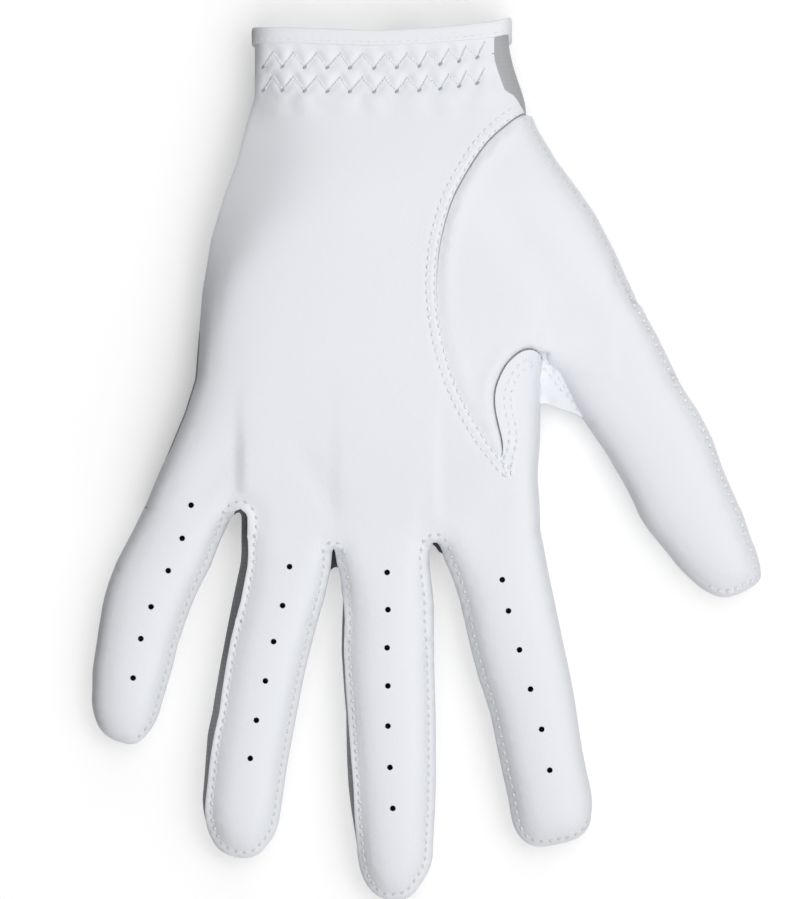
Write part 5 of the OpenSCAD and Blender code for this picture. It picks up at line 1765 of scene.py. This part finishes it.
def outseam_rows(side):
    """Rows of thread for the front or the back, with the part that each one moves with."""
    found = {}
    if side == "front":
        ids = np.flatnonzero(SEAM > 0.5)
        flat = OUT[ids] + INWARD[ids] * (INSET[ids] + STITCH[ids])[:, None]
        points, normal = hide_surface(flat)
        in_thumb_piece = [outline_part(k).startswith("thumb") or section_name(k) == "thenar" for k in ids]
        points[in_thumb_piece] = hide_surface(flat, lapped=False)[0][in_thumb_piece]
    else:
        ids = np.flatnonzero(OUT[:, 1] < CUFF_HIDDEN_Y - 2)
        depth = BACK_INSET[ids] - BACK_LAP + BACK_STITCH
        points, normal = back_surface(OUT[ids] + INWARD[ids] * depth[:, None])
    gap = np.cumsum(np.diff(ids, prepend=ids[0]) > 1)
    for (_, part), a, b in runs_by(list(zip(gap, map(outline_part, ids)))):
        if b < len(ids) and ids[b] == ids[b - 1] + 1:
            b += 1
        found.setdefault(part, []).append((points[a:b], normal[a:b]))
    return found


for part, rows in outseam_rows("front").items():
    sew(f"{part}_front_seam_thread", rows, part, slant=22,
        thread=PALE_THREAD if part.startswith("thumb") else THREAD)
for part, rows in outseam_rows("back").items():
    sew(f"{part}_back_seam_thread", rows, part, slant=-22)

# %% Two rows beside the lapped thumb seam, and two round the crotch arc
def beside(line, offset, before=(), after=()):
    """The line moved to its right on the plan, continued by given points, and lifted to the hide."""
    line = resample(line, 0.8)
    before, after = (np.reshape(extra, (-1, 2)) for extra in (before, after))
    return hide_surface(resample(np.vstack([before, line + rightward(line) * offset, after]), 0.8))


seam_part = THUMB_SEAM[(THUMB_SEAM[:, 1] < 54.2) & (THUMB_SEAM[:, 1] > -25.5)]
arc_part = CROTCH_ARC[CROTCH_ARC[:, 1] > -22.5]
lap_rows = [beside(seam_part, LAP_ROWS[0], after=[(31.0, -28.7), (32.5, -30.0), (34.0, -31.2)]),
            beside(seam_part, LAP_ROWS[1], after=[(29.8, -29.9), (31.1, -31.6), (32.6, -32.9)]),
            beside(arc_part[:-6], ARC_ROWS[0],
                   before=[(33.2, -33.0), (32.7, -30.8), (32.9, -28.4), (33.8, -26.3)]),
            beside(arc_part[:-12], ARC_ROWS[1],
                   before=[(34.5, -32.6), (34.6, -30.2), (35.0, -28.0), (35.7, -25.0)])]
sew("thumb_seam_thread", lap_rows, "hand", pitch=2.04, thickness=0.7, thread=PALE_THREAD)
WEB_ROWS = [[(41.2, -5.6), (42.9, -7.4), (44.1, -8.8), (45.6, -10.5), (46.8, -12.3), (48.3, -13.7)],
            [(42.2, -4.4), (43.8, -6.2), (45.2, -8.1), (46.6, -9.8), (47.8, -11.5), (48.8, -13.5),
             (49.7, -15.4), (50.8, -17.0)]]
web_lines = []
for line in WEB_ROWS:
    flat = resample(rounded(line, 2), 0.7)
    web_lines.append((np.column_stack([flat, thumb_web_height(flat)]),
                      np.tile([0.0, 0.0, 1.0], (len(flat), 1))))
sew("thumb_web_thread", web_lines, WEB_BEND, pitch=2.04, thickness=0.7, height=0.03, thread=PALE_THREAD)

# %% Panel seams of the back
panel_rows = [back_surface((line + rightward(line) * offset)[2:-2])
              for line in border_points for offset in (1.0, -1.0)]
sew("back_panel_seam_thread", panel_rows, "hand", pitch=2.4, length=1.4)

# %% Zigzag over the elastic: long strokes of thread from corner to corner
ZIG_RIGHT_X = 29.5
rising, falling, holes = [], [], []
for line in zig_rows:
    for a, b in zip(line, line[1:]):
        if max(a[0], b[0]) < ZIG_RIGHT_X:
            (rising if b[1] > a[1] else falling).append(hide_surface(resample([a, b], 0.5)))
    low_corners = line[::2][line[::2, 0] < ZIG_RIGHT_X]
    holes += [hide_surface(np.array([c - (0.15, 0.1), c + (0.15, 0.1)])) for c in low_corners]
sew("cuff_zigzag_thread", rising, "hand", pitch=0.75, length=1.0, thickness=0.56, height=0.05)
sew("cuff_zigzag_return_thread", falling, "hand", pitch=0.8, length=0.95, thickness=0.5, height=0.05,
    thread=PALE_THREAD)
sew("cuff_needle_holes", holes, "hand", pitch=0.5, length=0.8, thickness=0.75, height=0.14,
    thread=PUNCHED_SHADE)
print("zigzag of", len(rising), "rising and", len(falling), "falling strokes")

# %% Thread along the binding and round the tab
THREAD_Y = 72.6


def binding_row(surface, x0, x1, count):
    p, n, _, _ = surface(np.stack([np.linspace(x0, x1, count), np.full(count, THREAD_Y)], 1))
    return p + n * (TAPE_PROUD * 0.9), n


front_row = binding_row(front, -27.5, 33.2, 90)
back_rows = [binding_row(back, -26.5, vent_left - 0.8, 60), binding_row(back, vent_right + 0.8, 32.5, 60)]
for name, rows in (("binding_front_thread", [front_row]), ("binding_back_thread", back_rows)):
    sew(name, rows, "hand", pitch=1.9, length=0.9, thickness=0.3, height=0.02, thread=PALE_THREAD)


def border_row(outline, inset, z, up):
    closed = resample(np.vstack([outline, outline[:1]]), 1.0)
    flat = closed + loop_inward(closed[:-1])[np.r_[0:len(closed) - 1, 0]] * inset
    return np.column_stack([flat, np.full(len(flat), z)]), np.tile((0.0, 0.0, up), (len(flat), 1))


for name, outline, part in (("tab_edge_thread", TAB, "tab"), ("anchor_edge_thread", ANCHOR, "hand")):
    sew(name, [border_row(outline[::-1], -1.6, 0.0, -1.0)], part, pitch=2.2, length=1.5)

# %% [markdown]
# ## Camera
#
# The camera looks straight down on the palm from two metres, so the glove shows nearly no
# perspective. The lens is worked out from that distance and the height to be seen on the plane of the
# seams, which is surer than moving the camera until it looks right.

# %% The camera
scene = bpy.context.scene
PIXEL = 0.245                       # millimetres on the plan for each pixel of the frame
FRAME, ORIGIN = (791, 899), (370, 340)
CAMERA_UP, SENSOR = 2.0, 36
cam_data = bpy.data.cameras.new("camera")
cam = bpy.data.objects.new("camera", cam_data)
scene.collection.objects.link(cam)
cam.location = ((FRAME[0] / 2 - ORIGIN[0]) * PIXEL * MM, (ORIGIN[1] - FRAME[1] / 2) * PIXEL * MM, CAMERA_UP)
cam_data.sensor_width = SENSOR
cam_data.lens = SENSOR * (CAMERA_UP - SIDE_Z * MM) / (FRAME[1] * PIXEL * MM)
cam_data.clip_start, cam_data.clip_end = 0.05, 20
scene.camera = cam
scene.view_settings.view_transform = "Standard"
print("lens", round(cam_data.lens, 1), "mm")


# %% [markdown]
# ## Light
#
# White leather on white needs soft light from one side, or its fullness disappears. The sky is bright
# above and on the right, and dark on the left, where the shadow falls. Two soft lamps add a little on
# the palm. Rays from the camera, from gloss and from glass meet plain white, as a background.

# %% Lamps and sky
def area(name, location, size, power, target=(0, -0.02, 0)):
    data = bpy.data.lights.new(name, "AREA")
    data.size, data.energy = size, power
    lamp = bpy.data.objects.new(name, data)
    scene.collection.objects.link(lamp)
    lamp.location = location
    lamp.rotation_mode = "QUATERNION"
    lamp.rotation_quaternion = (Vector(target) - Vector(location)).to_track_quat("-Z", "Y")


def seen_directly(tree):
    """1 for the camera's own rays, and for rays from gloss and glass, which show the same white."""
    path = node(tree, "ShaderNodeLightPath").outputs
    mirrored = combined(tree, "MAXIMUM", path["Is Glossy Ray"], path["Is Transmission Ray"])
    return combined(tree, "MAXIMUM", path["Is Camera Ray"], mirrored)


area("soft_key", (0.5, -0.1, 0.8), 0.5, 0.8)
area("palm_lamp", (0.03, 0.03, 0.45), 0.3, 0.42, (0.03, 0.03, 0))
WHITE = (1, 1, 1, 1)
world = bpy.data.worlds.new("studio")
scene.world = world
world.use_nodes = True
sky = world.node_tree
direction = node(sky, "ShaderNodeTexCoord").outputs["Generated"]
to_right = node(sky, "ShaderNodeSeparateXYZ", {0: direction}).outputs["X"]
strength = combined(sky, "MULTIPLY", ranged(sky, to_right, -0.6, 0.05, 0.02, 1.25, "SMOOTHSTEP"),
                    ranged(sky, to_right, 0.2, 0.9, 1.0, 0.25, "SMOOTHSTEP"))
light = sky.nodes["Background"]
light.inputs["Color"].default_value = WHITE
sky.links.new(strength, light.inputs["Strength"])
plain_white = node(sky, "ShaderNodeBackground", Strength=1.0, Color=WHITE)
shown = node(sky, "ShaderNodeMixShader",
             {0: seen_directly(sky), 1: light.outputs[0], 2: plain_white.outputs[0]})
sky.links.new(shown.outputs[0], sky.nodes["World Output"].inputs["Surface"])

# %% [markdown]
# ## Floor
#
# The white card only has to catch the shadow, so rays that would bounce from it onto the glove pass
# through, and a little glow lifts it towards white. Below the fingers it is darker and glows more,
# which makes the shadow there lighter.

# %% The floor
HALF, FLOOR_Z = 3.0, -0.0005
floor_mesh = bpy.data.meshes.new("floor")
floor_mesh.from_pydata([(x * HALF, y * HALF, FLOOR_Z) for x, y in ((-1, -1), (1, -1), (1, 1), (-1, 1))], [],
                       [(0, 1, 2, 3)])
floor = bpy.data.objects.new("floor", floor_mesh)
scene.collection.objects.link(floor)
FLOOR, tree, shader = new_finish("floor_white", (0.8, 0.8, 0.8), 1.0, Specular_IOR_Level=0.0)
by_fingers = ranged(tree, in_object(tree, "Y"), -0.02, -0.06, kind="SMOOTHSTEP")
tinted(tree, shader, by_fingers, (0.95, 0.95, 0.95), (0.66, 0.66, 0.66))
glow = combined(tree, "MULTIPLY", seen_directly(tree), ranged(tree, by_fingers, 0, 1, 0.15, 0.42))
lit = node(tree, "ShaderNodeEmission", {"Strength": glow}, Color=WHITE).outputs[0]
card = node(tree, "ShaderNodeAddShader", {0: shader.outputs[0], 1: lit}).outputs[0]
clear = node(tree, "ShaderNodeBsdfTransparent").outputs[0]
passes = combined(tree, "MAXIMUM", node(tree, "ShaderNodeNewGeometry").outputs["Backfacing"],
                  node(tree, "ShaderNodeLightPath").outputs["Is Diffuse Ray"])
surface = node(tree, "ShaderNodeMixShader", {0: passes, 1: card, 2: clear}).outputs[0]
tree.links.new(surface, tree.nodes["Material Output"].inputs["Surface"])
floor_mesh.materials.append(FLOOR)
print("floor", 2 * HALF, "m wide")

# %% The end
bpy.context.view_layer.update()
